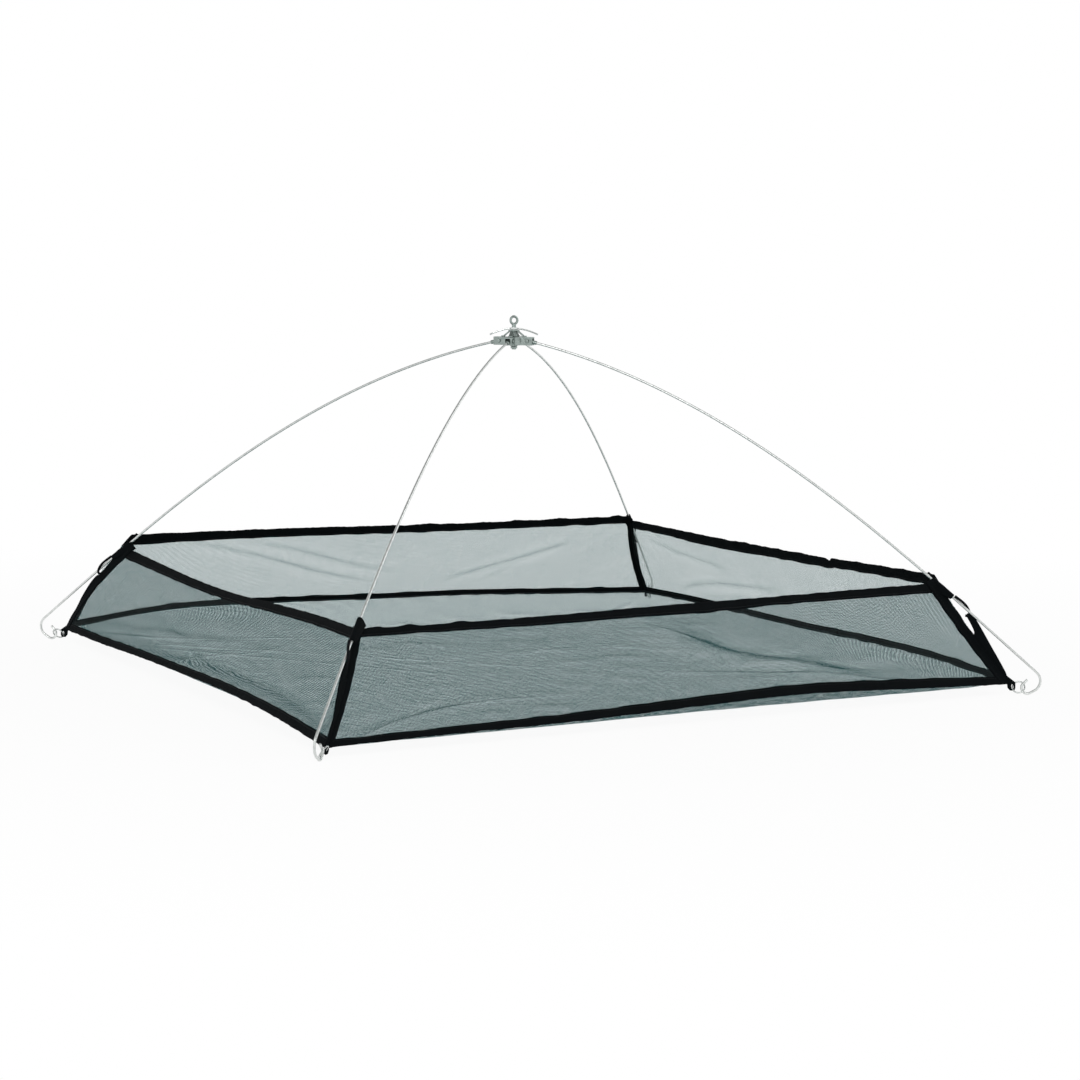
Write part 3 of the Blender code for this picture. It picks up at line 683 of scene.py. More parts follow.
def side_direction(side):
    """The way that a side's places run, from one corner to the next."""
    turn = radians(SIDES[side])
    return (round(-sin(turn), 9), round(cos(turn), 9), 0.0)


def side_middle(side):
    turn = radians(SIDES[side])
    return (HALF_BASE * cos(turn), HALF_BASE * sin(turn), BASE_Z)


def half_side(sizes, share):
    """Half the net's width at a share of the wall's slope."""
    return HALF_BASE + (sizes.top_side / 2 - HALF_BASE) * share


def smooth_curve(x, places, values):
    """Values at x of a smooth curve through values at rising places."""
    places, values = np.asarray(places, dtype=float), np.asarray(values, dtype=float)
    slopes = np.gradient(values, places)
    low = np.clip(np.searchsorted(places, x) - 1, 0, len(places) - 2)
    wide = places[low + 1] - places[low]
    t = np.clip((x - places[low]) / wide, 0, 1)
    level = values[low] * (1 + 2 * t) * (1 - t) ** 2 + values[low + 1] * (3 - 2 * t) * t**2
    return level + wide * t * (1 - t) * (slopes[low] * (1 - t) - slopes[low + 1] * t)


def tape_rise(side, level, along):
    """How high a side's lower tape (level 0) or upper one (1) hangs over its straight line."""
    heights = TAPE_RISE[side][level]
    return smooth_curve(along, np.linspace(-1, 1, len(heights)), heights) / 1000


def side_corners(side):
    """The corner at each end of a side, with the end's sign."""
    for corner, bearing in CORNERS.items():
        for end in (1, -1):
            if (SIDES[side] + 45 * end - bearing) % 360 == 0:
                yield corner, end


def seam_shift(corner, share):
    """How far a seam stands off its straight line at shares of the wall's height: out and across."""
    share = np.clip(share, 0, 1)
    return [lean * share + bow * np.sin(pi * share) for lean, bow in zip(*SEAM_SHIFTS[corner])]


def wall_slope(sizes):
    """The length of a wall from its lower tape up its slope to its upper one."""
    return hypot(HALF_BASE - sizes.top_side / 2, sizes.wall_rise)


def wall_point(sizes, side, across, share, proud):
    """Points of a wall: across in metres from its middle, share up its slope, proud outwards."""
    half = half_side(sizes, share)
    along = across / half
    up = BASE_Z + sizes.wall_rise * share
    up = up + tape_rise(side, 0, along) * (1 - share) + tape_rise(side, 1, along) * share
    slope = wall_slope(sizes)
    out = half + proud * sizes.wall_rise / slope
    up = up + proud * (HALF_BASE - sizes.top_side / 2) / slope
    placed = turn_about_z(np.stack(np.broadcast_arrays(out, across, up), axis=1), SIDES[side])
    for corner, end in side_corners(side):
        near = np.exp(-(((half - across * end) / SEAM_PULL_REACH) ** 2))
        shift_out, shift_across = seam_shift(corner, share)
        pulled = np.broadcast_arrays(shift_out * near, shift_across * near, 0.0)
        placed = placed + turn_about_z(np.stack(pulled, axis=1), CORNERS[corner])
    return placed


def seam_point(sizes, corner, share, out, across, up):
    """Points near a corner's seam: out along its diagonal, across it anticlockwise, and up."""
    shift_out, shift_across = seam_shift(corner, share)
    flat = np.broadcast_arrays(
        half_side(sizes, share) * sqrt(2) + shift_out + out,
        shift_across + across,
        BASE_Z + sizes.wall_rise * share + up,
    )
    return turn_about_z(np.stack(flat, axis=1), CORNERS[corner])


def wander(places, kind, seed):
    """Seeded smooth swells at each place. kind is their usual greatest height and their length."""
    height, scale = kind
    draw = np.random.default_rng(seed)
    total = np.zeros(len(places))
    for _ in range(8):
        heading = draw.normal(size=places.shape[1])
        heading *= 2 * pi * draw.uniform(0.7, 1.4) / (scale * np.linalg.norm(heading))
        total += np.sin(places @ heading + draw.uniform(0, 2 * pi))
    return total * 0.17 * height  # the sum of the eight sines is seldom over 1 / 0.17


def fold_field(places, folds):
    """How far folds draw a flat sheet's points together, and how high they lift them.

    Each fold gathers the mesh across its line, so that its strands crowd there, and stands up as a
    ridge. It fades out towards its ends.
    """
    drawn = np.zeros_like(places)
    lift = np.zeros(len(places))
    for height, half_width, gather, points in folds:
        line = np.array([tuple(p)[:2] for p in smooth_line([(*p, 0) for p in points])])
        reach = 3 * half_width
        inside = (places > line.min(axis=0) - reach) & (places < line.max(axis=0) + reach)
        near_by = np.flatnonzero(inside.all(axis=1))
        start, step = line[:-1], np.diff(line, axis=0)
        offset = places[near_by, None, :] - start[None]
        share = np.clip((offset * step).sum(2) / (step * step).sum(1), 0, 1)
        away = offset - share[:, :, None] * step
        distance = np.hypot(away[:, :, 0], away[:, :, 1])
        nearest = distance.argmin(axis=1)
        row = np.arange(len(near_by))
        run = (nearest + share[row, nearest]) / len(step)
        fade = np.clip(np.sin(pi * (0.02 + 0.96 * run)) * FOLD_ENDS, 0, 1)
        near = np.exp(-((distance[row, nearest] / half_width) ** 2)) * fade
        drawn[near_by] -= away[row, nearest] * (gather * near)[:, None]
        lift[near_by] += height * near
    return drawn, lift


# Netting

WALL_REACH = (0.012, 0.965)  # the share of a wall's slope that its netting covers
WALL_FREE = (0.055, 0.890)  # the share that shows between the tapes
SEAM_MARGIN = 0.0030  # how far short of a corner's seam the netting ends
STRAND_SHIFT = 0.00012  # how far the crossing strands lie before and behind the netting's middle


def strand_strips(name, across, along, sizes, unwanted):
    """Strands side by side as flat strips that run along Y, less what unwanted(x, y) picks.

    Returns the piece, the place of each point's strand across, its place along, and the edge of the
    strip that it is on, as -1 or 1.
    """
    count = 2 * round(across / sizes.mesh_pitch / 2)
    steps = 2 * round(along / sizes.strand_step / 2)
    piece = flat_grid(name, 2 * count - 1, steps)

    def dropped(centres):
        column = np.floor(centres[:, 0] * (2 * count - 1)).astype(int)
        x = (column // 2 + 0.5) / count * across
        return (column % 2 == 1) | unwanted(x, centres[:, 1] * along)

    drop_faces(piece, dropped)
    grid = points_of(piece.data)
    column = np.rint(grid[:, 0] * (2 * count - 1)).astype(int)
    return piece, (column // 2 + 0.5) / count * across, grid[:, 1] * along, column % 2 * 2 - 1


def strand_families(name, across, up, sizes, unwanted):
    """The strands that run up a flat net, and then those that run across it, with their places."""
    piece, x, y, hand = strand_strips(name, across, up, sizes, unwanted)
    yield True, piece, x, y, hand
    piece, y, x, hand = strand_strips("weft", up, across, sizes, lambda y, x: unwanted(x, y))
    yield False, piece, x, y, hand


def wall_netting(sizes, side, finish):
    """A wall of square mesh, cut to the seams at its corners and held in the tapes."""
    slope = wall_slope(sizes)
    low, high = WALL_REACH
    rise = slope * (high - low)
    folds = [(*fold[:3], [(p[0], p[1] * slope) for p in fold[3]]) for fold in WALL_FOLDS[side]]
    seed = SIDES[side] + 200

    def beyond_seam(across, up):
        half = half_side(sizes, low + up / slope)
        return np.abs(across - HALF_BASE) > half - SEAM_MARGIN

    families = strand_families("netting_" + side, 2 * HALF_BASE, rise, sizes, beyond_seam)
    pieces = []
    for upright, piece, across, up, hand in families:
        height = up / rise
        height = height - FOOT_GATHER[side] * height * (1 - height) ** 2
        flat = np.column_stack([across - HALF_BASE, low * slope + height * rise])
        drawn, lift = fold_field(flat, folds)
        free = (low + (high - low) * height - WALL_FREE[0]) / (WALL_FREE[1] - WALL_FREE[0])
        edge = np.sin(pi * np.clip(free, 0, 1))  # the tapes hold the top and the foot still
        moved = flat + drawn * edge[:, None] ** 0.3  # the mesh stays gathered nearly to the tapes
        moved[:, 0] += edge * wander(flat, WALL_DRIFT[0], seed)
        moved[:, 1] += edge * wander(flat, WALL_DRIFT[1], seed + 1)
        belly = wander(flat, WALL_BELLY[0], seed + 2) + wander(flat, WALL_BELLY[1], seed + 3)
        moved[:, 0 if upright else 1] += hand * sizes.strand_width * STRAND_SHARES[side] / 2
        share = np.clip(moved[:, 1] / slope, low * 0.5, high + 0.005)  # inside the tapes
        proud = edge * (lift + belly) + (STRAND_SHIFT if upright else -STRAND_SHIFT)
        move_points(piece.data, wall_point(sizes, side, moved[:, 0], share, proud))
        pieces.append(piece)
    piece = join(pieces)
    paint(piece, finish)
    return piece


def floor_height(x, y):
    """How high the floor of the net lies: on the ground, but up at the lower tapes."""
    total = np.zeros(len(x))
    for side, bearing in SIDES.items():
        c, s = round(cos(radians(bearing)), 9), round(sin(radians(bearing)), 9)
        out, across = c * x + s * y, -s * x + c * y
        along = np.clip(across / HALF_BASE, -1, 1)
        tape = BASE_Z + tape_rise(side, 0, along) - FLOOR_REST_Z
        inside = np.clip(1 - (HALF_BASE - out) / FLOOR_LIFT_REACH, 0, 1)
        total += (tape * inside**2) ** FLOOR_LIFT_BLEND
    return FLOOR_REST_Z + total ** (1 / FLOOR_LIFT_BLEND)


def floor_netting(sizes, side, finish):
    """The quarter of the floor at one side. The seams between quarters follow the mesh."""
    tie = 1e-6 if side in ("front", "back") else -1e-6  # so that each strand has one owner

    def outside_quarter(across, out):
        return np.abs(across - HALF_BASE) > out + tie

    families = strand_families("floor_" + side, 2 * HALF_BASE, HALF_BASE, sizes, outside_quarter)
    pieces = []
    for outward, piece, across, out, hand in families:
        rest = np.column_stack([out, across - HALF_BASE, np.zeros(len(out))])
        places = turn_about_z(rest, SIDES[side])
        flat = places[:, :2].copy()
        drawn, lift = fold_field(flat, FLOOR_FOLDS)
        inner = np.clip((HALF_BASE - np.abs(flat).max(axis=1)) / FLOOR_EDGE_HOLD, 0, 1)
        drift = np.stack([wander(flat, FLOOR_DRIFT, seed) for seed in (23, 24)], axis=1)
        edge = np.zeros((len(out), 3))
        edge[:, 1 if outward else 0] = hand * sizes.floor_strand / 2
        moved = flat + (drawn + drift) * inner[:, None] + turn_about_z(edge, SIDES[side])[:, :2]
        height = floor_height(moved[:, 0], moved[:, 1])
        loose = sum(
            np.clip(wander(flat, kind, 21 + i), 0, kind[0]) for i, kind in enumerate(FLOOR_SLACK)
        )
        places[:, :2] = moved
        places[:, 2] = height + (lift + loose) * inner
        along_x = outward == (side in ("right", "left"))
        places[:, 2] += STRAND_SHIFT if along_x else -STRAND_SHIFT
        move_points(piece.data, places)
        pieces.append(piece)
    piece = join(pieces)
    paint(piece, finish)
    return piece


# Tapes

# A tape's section from its netting edge to its folded one, as (place across, share of its thickness).
# It is drawn in where the stitches pull it flat, at SEAM_V.
SEAM_V = 0.22
TAPE_SECTION = (
    (0.0, 0.62), (0.10, 0.85), (SEAM_V, 0.45), (0.34, 0.90), (0.56, 1.0), (0.78, 1.0), (0.93, 0.85),
    (1.0, 0.45),
)
TAPE_COLUMNS = 260
STITCH_COVER = 0.72  # the share of a stitch's step that its thread covers


def tape_place(sizes, side, level, u, v, proud=0.0):
    """Points of an edge tape: u along it, v across it from the netting to its folded edge."""
    slope = wall_slope(sizes)
    width = sizes.upper_tape if level == "upper" else sizes.lower_tape
    reach = (2 * u - 1) * TAPE_REACH
    widths = TAPE_WIDTHS[side][1 if level == "upper" else 0]
    wide = width * TAPE_BAND * np.interp(reach, *zip(*widths)) / slope
    inner = 1 - wide if level == "upper" else LOWER_TAPE_MIDDLE + wide / 2
    outer = 1.0 if level == "upper" else inner - wide
    seed = SIDES[side] + (1000 if level == "upper" else 2000)
    line = u[:, None]
    swell = np.zeros(len(u))
    for middle, half_length, height in TAPE_LUMPS[side] if level == "upper" else ():
        swell += height * np.exp(-(((reach * sizes.top_side / 2 - middle) / half_length) ** 2))
    ends = np.clip(np.minimum(u, 1 - u) / TAPE_END, 0, 1)
    lumps = swell + wander(line, FOLDED_EDGE_WAVES, seed)
    lumps += np.clip(wander(line, FOLDED_EDGE_LUMPS, seed + 3), 0, FOLDED_EDGE_LUMPS[0])
    inward = wander(line, NETTING_EDGE_WAVES, seed + 5)
    grow = (lumps * v + inward * (1 - v)) * ends / slope
    share = inner + (outer - inner) * v + grow * (1 if level == "upper" else -1)
    twist = wander(line, TAPE_TWIST, seed + 7) * (2 * v - 1)
    ripple = wander(line, TAPE_RIPPLE, seed + 8)
    across = reach * half_side(sizes, share)
    return wall_point(sizes, side, across, share, proud + (twist + ripple) * ends)


def stitch_shape(sizes):
    """One stitch of thread, along X: a rounded bar of few faces."""
    deselect()
    bpy.ops.mesh.primitive_uv_sphere_add(segments=6, ring_count=4, radius=0.5, rotation=(0, pi / 2, 0))
    piece = bpy.context.object
    piece.scale = (sizes.thread, sizes.thread, sizes.stitch * STITCH_COVER)
    return settle(piece)


def stitch_row(sizes, place, count, lift, finish):
    """Stitches along a seam on both faces of a tape. place(u, proud) gives points of the seam."""
    template = stitch_shape(sizes)
    local = points_of(template.data)
    faces = [tuple(face.vertices) for face in template.data.polygons]
    discard(template)
    u = (np.arange(count) + 0.5) / count
    points, quads = [], []
    for face_side in (1, -1):
        middle = place(u, face_side * lift)
        ahead = place(u + 0.2 / count, face_side * lift) - place(u - 0.2 / count, face_side * lift)
        ahead /= np.linalg.norm(ahead, axis=1)[:, None]
        outward = place(u, face_side * lift) - place(u, 0.0)
        outward /= np.linalg.norm(outward, axis=1)[:, None]
        sideways = np.cross(outward, ahead)
        for at, x, y, z in zip(middle, ahead, sideways, outward):
            base = len(points)
            points.extend(at + p[0] * x + p[1] * y + p[2] * z for p in local)
            quads.extend(tuple(base + i for i in face) for face in faces)
    mesh = bpy.data.meshes.new("stitches")
    mesh.from_pydata([tuple(p) for p in points], [], quads)
    made = bpy.data.objects.new("stitches", mesh)
    bpy.context.scene.collection.objects.link(made)
    made.data.shade_smooth()
    paint(made, finish)
    return made


def edge_tape(sizes, side, level, finish, thread):
    """Tape folded over the netting's edge and sewn through near the netting."""
    rows = len(TAPE_SECTION) - 1
    piece = flat_grid(level + "_tape_" + side, TAPE_COLUMNS, rows)
    grid = points_of(piece.data)
    row = np.rint(grid[:, 1] * rows).astype(int)
    u = grid[:, 0]
    v = np.array([across for across, _ in TAPE_SECTION])[row]
    metres = 2 * HALF_BASE
    width = sizes.upper_tape if level == "upper" else sizes.lower_tape
    set_uv_metres(piece, u * metres, v * width)
    thickness = piece.vertex_groups.new(name="thickness")
    for i, (_, share) in enumerate(TAPE_SECTION):
        thickness.add([int(own) for own in np.flatnonzero(row == i)], share, "REPLACE")
    move_points(piece.data, tape_place(sizes, side, level, u, v))
    step = solidify(piece, sizes.tape_depth)
    step.vertex_group = "thickness"
    step.thickness_vertex_group = 0.0
    bevel(piece, 0.0003, segments=1, angle=50)
    apply_modifiers(piece)
    piece.vertex_groups.clear()
    smooth(piece, 60)
    paint(piece, finish)

    def seam_place(at, proud):
        return tape_place(sizes, side, level, at, np.full(len(at), SEAM_V), proud)

    lift = sizes.tape_depth * 0.24 + sizes.thread * 0.3  # a little sunk into the seam
    return join([piece, stitch_row(sizes, seam_place, int(metres / sizes.stitch), lift, thread)])


def corner_fold_place(sizes, corner, fold, share, proud=0.0):
    """Points of a corner tape: fold from -1 to 1 across it, round the seam, and share up the wall."""
    foot, top = CORNER_WIDTHS[corner]
    width = foot + (top - foot) * np.clip(share, 0, 1)
    width = width * (1 + wander(share[:, None], CORNER_WIDTH_WAVES, CORNERS[corner] + 351))
    rises = [np.zeros(len(share)), np.zeros(len(share))]
    for side in SIDES:
        for own, end in side_corners(side):
            if own == corner:
                low, high = (tape_rise(side, level, np.full(len(share), float(end))) for level in (0, 1))
                rises[(1 - end) // 2] = low * (1 - share) + high * share
    side_share = (1 + fold) / 2
    rise = rises[0] * (1 - side_share) + rises[1] * side_share
    rough = wander(share[:, None], CORNER_FACE_WAVES, CORNERS[corner] + 352)
    out = (proud - np.abs(fold) * width) / sqrt(2) + rough
    across = (fold * width + np.sign(fold) * proud) / sqrt(2)
    return seam_point(sizes, corner, share, out, across, rise)


def corner_tape(sizes, corner, finish, thread):
    """The tape of one corner: folded round the seam, with its hood, outer strip and ring tab."""
    low, high = CORNER_SHARES
    tape = flat_grid("seam_tape_" + corner, 10, 44)
    grid = points_of(tape.data)
    fold = 2 * grid[:, 0] - 1
    share = low + (high - low) * grid[:, 1]
    set_uv_metres(tape, grid[:, 1] * sizes.wall_rise * 1.2, grid[:, 0] * 2 * CORNER_WIDTHS[corner][0])
    move_points(tape.data, corner_fold_place(sizes, corner, fold, share))
    solidify(tape, sizes.corner_depth)
    bevel(tape, 0.0006, segments=2, angle=50)
    apply_modifiers(tape)
    smooth(tape, 60)
    extras = [corner_strip(sizes, corner), corner_hood(corner)]
    for piece in (tape, *extras):
        paint(piece, finish)
    count = int(sizes.wall_rise / sizes.stitch)
    lift = sizes.corner_depth / 2 + sizes.thread * 0.1  # nearly half sunk into the face
    start, end = CORNER_STITCH_SHARES
    for edge in (CORNER_STITCH, -CORNER_STITCH):

        def seam_place(at, proud):
            along = start + (end - start) * at
            return corner_fold_place(sizes, corner, np.full(len(at), edge), along, proud)

        extras.append(stitch_row(sizes, seam_place, count, lift, thread))
    return join([tape, *extras])


def corner_strip(sizes, corner):
    """The doubled tape outside a corner's seam, which ends in the slotted tab of the ring."""
    curve = bpy.data.curves.new("strip", "CURVE")
    curve.dimensions = "2D"
    curve.fill_mode = "BOTH"
    curve.extrude = STRIP_HALF_DEPTH - STRIP_EDGE
    curve.bevel_depth = STRIP_EDGE
    curve.bevel_resolution = 1
    tall = corner == "front_right"

    def edge_place(share, out):
        beyond_seam = max(out, seam_shift(corner, share)[0] - STRIP_OVERLAP)
        return (half_side(sizes, share) * sqrt(2) + beyond_seam, BASE_Z + sizes.wall_rise * share, 0)

    outer = [edge_place(*place) for place in (TALL_STRIP_OUTER if tall else STRIP_OUTER)]
    inner = [edge_place(*place) for place in (TALL_STRIP_INNER if tall else STRIP_INNER)]
    body = smooth_line(outer + inner, steps=4) + [(out, BASE_Z + up, 0) for out, up in TAB_OUTLINE]
    slot_out = RING_CENTRE - sizes.ring
    slot = [
        (slot_out + TAB_SLOT[0] * cos(a), RING_Z + TAB_SLOT[1] * sin(a), 0)
        for a in (2 * pi * i / 20 for i in range(20))
    ]
    piece = curve_mesh("strip", curve, [body, slot], closed=True)
    places = points_of(piece.data)
    if not piece.data.uv_layers:
        piece.data.uv_layers.new(name="UVMap")
    set_uv_metres(piece, places[:, 1], places[:, 0])
    out, up, thick = places.T
    share = np.clip((up - BASE_Z) / sizes.wall_rise, 0, 1)
    wave = wander(np.column_stack([out, up]), STRIP_WAVES, CORNERS[corner] + 360) * np.sin(pi * share)
    stood = np.column_stack([out, seam_shift(corner, share)[1] + wave - thick, up])
    move_points(piece.data, turn_about_z(stood, CORNERS[corner]))
    smooth(piece, 50)
    return piece


def corner_hood(corner):
    """The upper end of the corner's tape, sewn over the arm's wire like a saddle."""
    piece = flat_grid("hood", 20, 8)
    grid = points_of(piece.data)
    (near, near_depth), (far, far_depth) = HOOD_ENDS
    places = []
    for x, y in grid[:, :2]:
        fold = 2 * x - 1
        bend = min(1.0, abs(fold) / HOOD_SADDLE) * pi / 2
        skirt = max(0.0, (abs(fold) - HOOD_SADDLE) / (1 - HOOD_SADDLE))
        across = (HOOD_RADIUS * sin(bend) + HOOD_SPREAD * skirt) * (1 if fold >= 0 else -1)
        over = HOOD_RADIUS * cos(bend) - (near_depth + (far_depth - near_depth) * y) * skirt
        places.append(beside_arm(near + (far - near) * y, across, over))
    thickness, cloth = HOOD_CLOTH
    set_uv_metres(piece, grid[:, 1] * (far - near), grid[:, 0] * cloth)
    places = np.array(places)
    places[:, 2] += wander(grid[:, :2], HOOD_WAVES, CORNERS[corner] + 370)
    move_points(piece.data, turn_about_z(places, CORNERS[corner]))
    solidify(piece, thickness)
    bevel(piece, 0.0003, segments=2, angle=50)
    apply_modifiers(piece)
    smooth(piece, 60)
    return piece


# Arms

def arm_line():
    """Points of an arm and its hook as (distance from the hub's axis, height)."""
    out, up = PIVOT_RADIUS, PIVOT_Z
    points = [(out, up)]
    step = ARM_LENGTH / ARM_STEPS
    for i in range(ARM_STEPS):
        share = (i + 0.5) / ARM_STEPS
        slope = ROOT_SLOPE + ARM_BEND * (2 * share - share * share)
        out += step * cos(slope)
        up -= step * sin(slope)
        points.append((out, up))
    heading = -(ROOT_SLOPE + ARM_BEND)
    for radius, turn, straight in ((*HOOK_BEND, HOOK_STRAIGHT), (*HOOK_RETURN, HOOK_NOSE)):
        steps = ceil(turn / HOOK_STEP)
        chord = 2 * radius * sin(turn / steps / 2)
        for _ in range(steps):
            heading -= turn / steps / 2
            out += chord * cos(heading)
            up += chord * sin(heading)
            points.append((out, up))
            heading -= turn / steps / 2
        out += straight * cos(heading)
        up += straight * sin(heading)
        points.append((out, up))
    return points


ARM_LINE = arm_line()


def beside_arm(out, across, over):
    """A point beside the arm at bearing 0: across from the wire's centre, and over it."""
    for (out_a, up_a), (out_b, up_b) in zip(ARM_LINE, ARM_LINE[1:]):
        if out_a <= out <= out_b:
            share = (out - out_a) / (out_b - out_a)
            run = hypot(out_b - out_a, up_b - up_a)
            along = ((out_b - out_a) / run, (up_b - up_a) / run)
            return (out - along[1] * over, across, up_a + (up_b - up_a) * share + along[0] * over)
    raise ValueError("the arm doesn't reach that far out")


def arm_wire(sizes):
    """The sprung wire with its hook, at bearing 0."""
    socket = (PIVOT_RADIUS + KNUCKLE_SOCKET * cos(ROOT_SLOPE), 0, PIVOT_Z - KNUCKLE_SOCKET * sin(ROOT_SLOPE))
    points = [socket] + [(out, 0, up) for out, up in ARM_LINE[1:]]
    piece = tube("arm", points, sizes.wire / 2, sides=16)
    bevel(piece, 0.0005, segments=2, angle=60)
    apply_modifiers(piece)
    smooth(piece, 50)
    return piece


def cord_route(sizes):
    """The cord at bearing 0: from the hood along the arm, round it, and to the strip below."""
    clear = sizes.wire / 2 + sizes.cord / 2 + 0.0003
    points = [
        beside_arm(out, share * clear * sin(radians(angle)), share * clear * cos(radians(angle)))
        for out, angle, share in CORD_ROUTE
    ]
    return [tuple(p) for p in smooth_line(points, steps=6)]


def corner_ring(sizes):
    """The welded ring at one corner, at bearing 0, hanging tilted in the hook."""
    deselect()
    bpy.ops.mesh.primitive_torus_add(
        major_radius=sizes.ring,
        minor_radius=sizes.ring_wire / 2,
        major_segments=48,
        minor_segments=12,
        location=(RING_CENTRE, 0, RING_Z),
        rotation=(pi / 2 - RING_TILT, 0, 0),
    )
    piece = settle(bpy.context.object)
    smooth(piece, 60)
    return piece


# Hub

def finished_copy(node, name, edge):
    """A copy of a packed hub part with its seams merged and its edges rounded."""
    piece = frame["nodes"][node].copy()
    piece.data = frame["nodes"][node].data.copy()
    piece.name = name
    for key in list(piece.keys()):
        del piece[key]
    piece.parent = None
    bpy.context.scene.collection.objects.link(piece)
    activate(piece)
    bpy.ops.object.mode_set(mode="EDIT")
    bpy.ops.mesh.select_all(action="SELECT")
    bpy.ops.mesh.remove_doubles(threshold=2e-5)
    bpy.ops.mesh.dissolve_limited(angle_limit=radians(2))
    bpy.ops.object.mode_set(mode="OBJECT")
    bevel(piece, edge, segments=2, angle=40)
    apply_modifiers(piece)
    smooth(piece, 35)
    return piece


# Materials

def add_node(tree, kind, settings=None, inputs=None):
    """Adds a node, sets its properties, and sets or links its inputs."""
    made = tree.nodes.new(kind)
    for key, value in (settings or {}).items():
        setattr(made, key, value)
    for key, value in (inputs or {}).items():
        if isinstance(value, bpy.types.NodeSocket):
            tree.links.new(value, made.inputs[key])
        else:
            made.inputs[key].default_value = value
    return made


def new_material(name):
    """An empty material with its output, and its node tree."""
    made = bpy.data.materials.new(name)
    made.use_nodes = True
    made.node_tree.nodes.clear()
    return made, made.node_tree


def finish_with(tree, shader):
    add_node(tree, "ShaderNodeOutputMaterial", inputs={"Surface": shader.outputs[0]})


def rgba(values):
    return (*values, 1.0)


def shade(values, share):
    """A colour made lighter or darker by a share."""
    return tuple(min(1.0, value * share) for value in values)


def dyed_nylon_netting(colours):
    """Knotless netting of dyed nylon: fine grey-green strands that let some light through.

    Seen against white paper the strands look teal, because the light that passes them is dyed.
    """
    made, tree = new_material("dyed_nylon_netting")
    coords = add_node(tree, "ShaderNodeTexCoord")
    patches = add_node(
        tree, "ShaderNodeTexNoise", {"noise_dimensions": "3D"},
        {"Vector": coords.outputs["Object"], "Scale": 14.0, "Detail": 3.0, "Roughness": 0.55},
    )
    tone = add_node(tree, "ShaderNodeValToRGB", inputs={"Fac": patches.outputs["Fac"]})
    tone.color_ramp.elements[0].position = 0.30
    tone.color_ramp.elements[0].color = rgba(shade(colours.netting, 0.82))
    tone.color_ramp.elements[1].position = 0.72
    tone.color_ramp.elements[1].color = rgba(shade(colours.netting, 1.18))
    # Twisted filaments are about 0.3 mm apart, drawn at 0.8 mm.
    fibres = add_node(
        tree, "ShaderNodeTexNoise",
        inputs={"Vector": coords.outputs["Object"], "Scale": 1250.0, "Detail": 2.0},
    )
    bump = add_node(
        tree, "ShaderNodeBump",
        inputs={"Height": fibres.outputs["Fac"], "Strength": 0.35, "Distance": 0.0003},
    )
    shader = add_node(
        tree, "ShaderNodeBsdfPrincipled",
        inputs={
            "Base Color": tone.outputs["Color"],
            "Normal": bump.outputs["Normal"],
            "Roughness": 0.75,
            "IOR": 1.53,
            "Specular IOR Level": 0.15,
        },
    )
    passed = add_node(
        tree, "ShaderNodeBsdfTransparent", inputs={"Color": rgba(colours.netting_glow)}
    )
    mixed = add_node(
        tree, "ShaderNodeMixShader",
        inputs={0: 0.60, 1: passed.outputs["BSDF"], 2: shader.outputs["BSDF"]},
    )
    finish_with(tree, mixed)
    return made


def woven_binding_tape(colours):
    """Black polyester binding: nearly black, with matt ribs that only a near view shows, and painted shade in the
    hollows between the ribs.
    """
    made, tree = new_material("woven_binding_tape")
    coords = add_node(tree, "ShaderNodeTexCoord")
    # A band is 0.1 * pi / Scale metres wide: 1.0 mm for the ribs, which are really 0.5 mm apart,
    # and 0.7 mm for the warp, so that both show.
    ribs = add_node(
        tree, "ShaderNodeTexWave", {"wave_type": "BANDS", "bands_direction": "X", "wave_profile": "SIN"},
        {"Vector": coords.outputs["UV"], "Scale": 1000 / pi, "Distortion": 0.6,
         "Detail": 1.0, "Detail Scale": 2.0},
    )
    warp = add_node(
        tree, "ShaderNodeTexWave", {"wave_type": "BANDS", "bands_direction": "Y", "wave_profile": "SIN"},
        {"Vector": coords.outputs["UV"], "Scale": 1400 / pi, "Distortion": 0.4},
    )
    weave = add_node(
        tree, "ShaderNodeMath", {"operation": "MULTIPLY"},
        {0: ribs.outputs["Fac"], 1: warp.outputs["Fac"]},
    )
    worn = add_node(
        tree, "ShaderNodeTexNoise",
        inputs={"Vector": coords.outputs["Object"], "Scale": 45.0, "Detail": 4.0},
    )
    # Painted shade: the weave darkens the tone in the hollows between the ribs and lightens it on them. The worn noise
    # adds a random tone of the tape's own.
    mixed = add_node(
        tree, "ShaderNodeMath", {"operation": "MULTIPLY_ADD"},
        {0: weave.outputs["Value"], 1: 0.5, 2: worn.outputs["Fac"]},
    )
    tone = add_node(tree, "ShaderNodeValToRGB", inputs={"Fac": mixed.outputs["Value"]})
    tone.color_ramp.elements[0].position = 0.35
    tone.color_ramp.elements[0].color = rgba(shade(colours.tape, 0.75))
    tone.color_ramp.elements[1].position = 1.0
    tone.color_ramp.elements[1].color = rgba(shade(colours.tape, 1.2))
    bump = add_node(
        tree, "ShaderNodeBump",
        inputs={"Height": weave.outputs["Value"], "Strength": 0.5, "Distance": 0.0003},
    )
    shader = add_node(
        tree, "ShaderNodeBsdfPrincipled",
        inputs={
            "Base Color": tone.outputs["Color"],
            "Normal": bump.outputs["Normal"],
            "Roughness": 0.86,
            "IOR": 1.5,
            "Specular IOR Level": 0.06,
        },
    )
    finish_with(tree, shader)
    return made


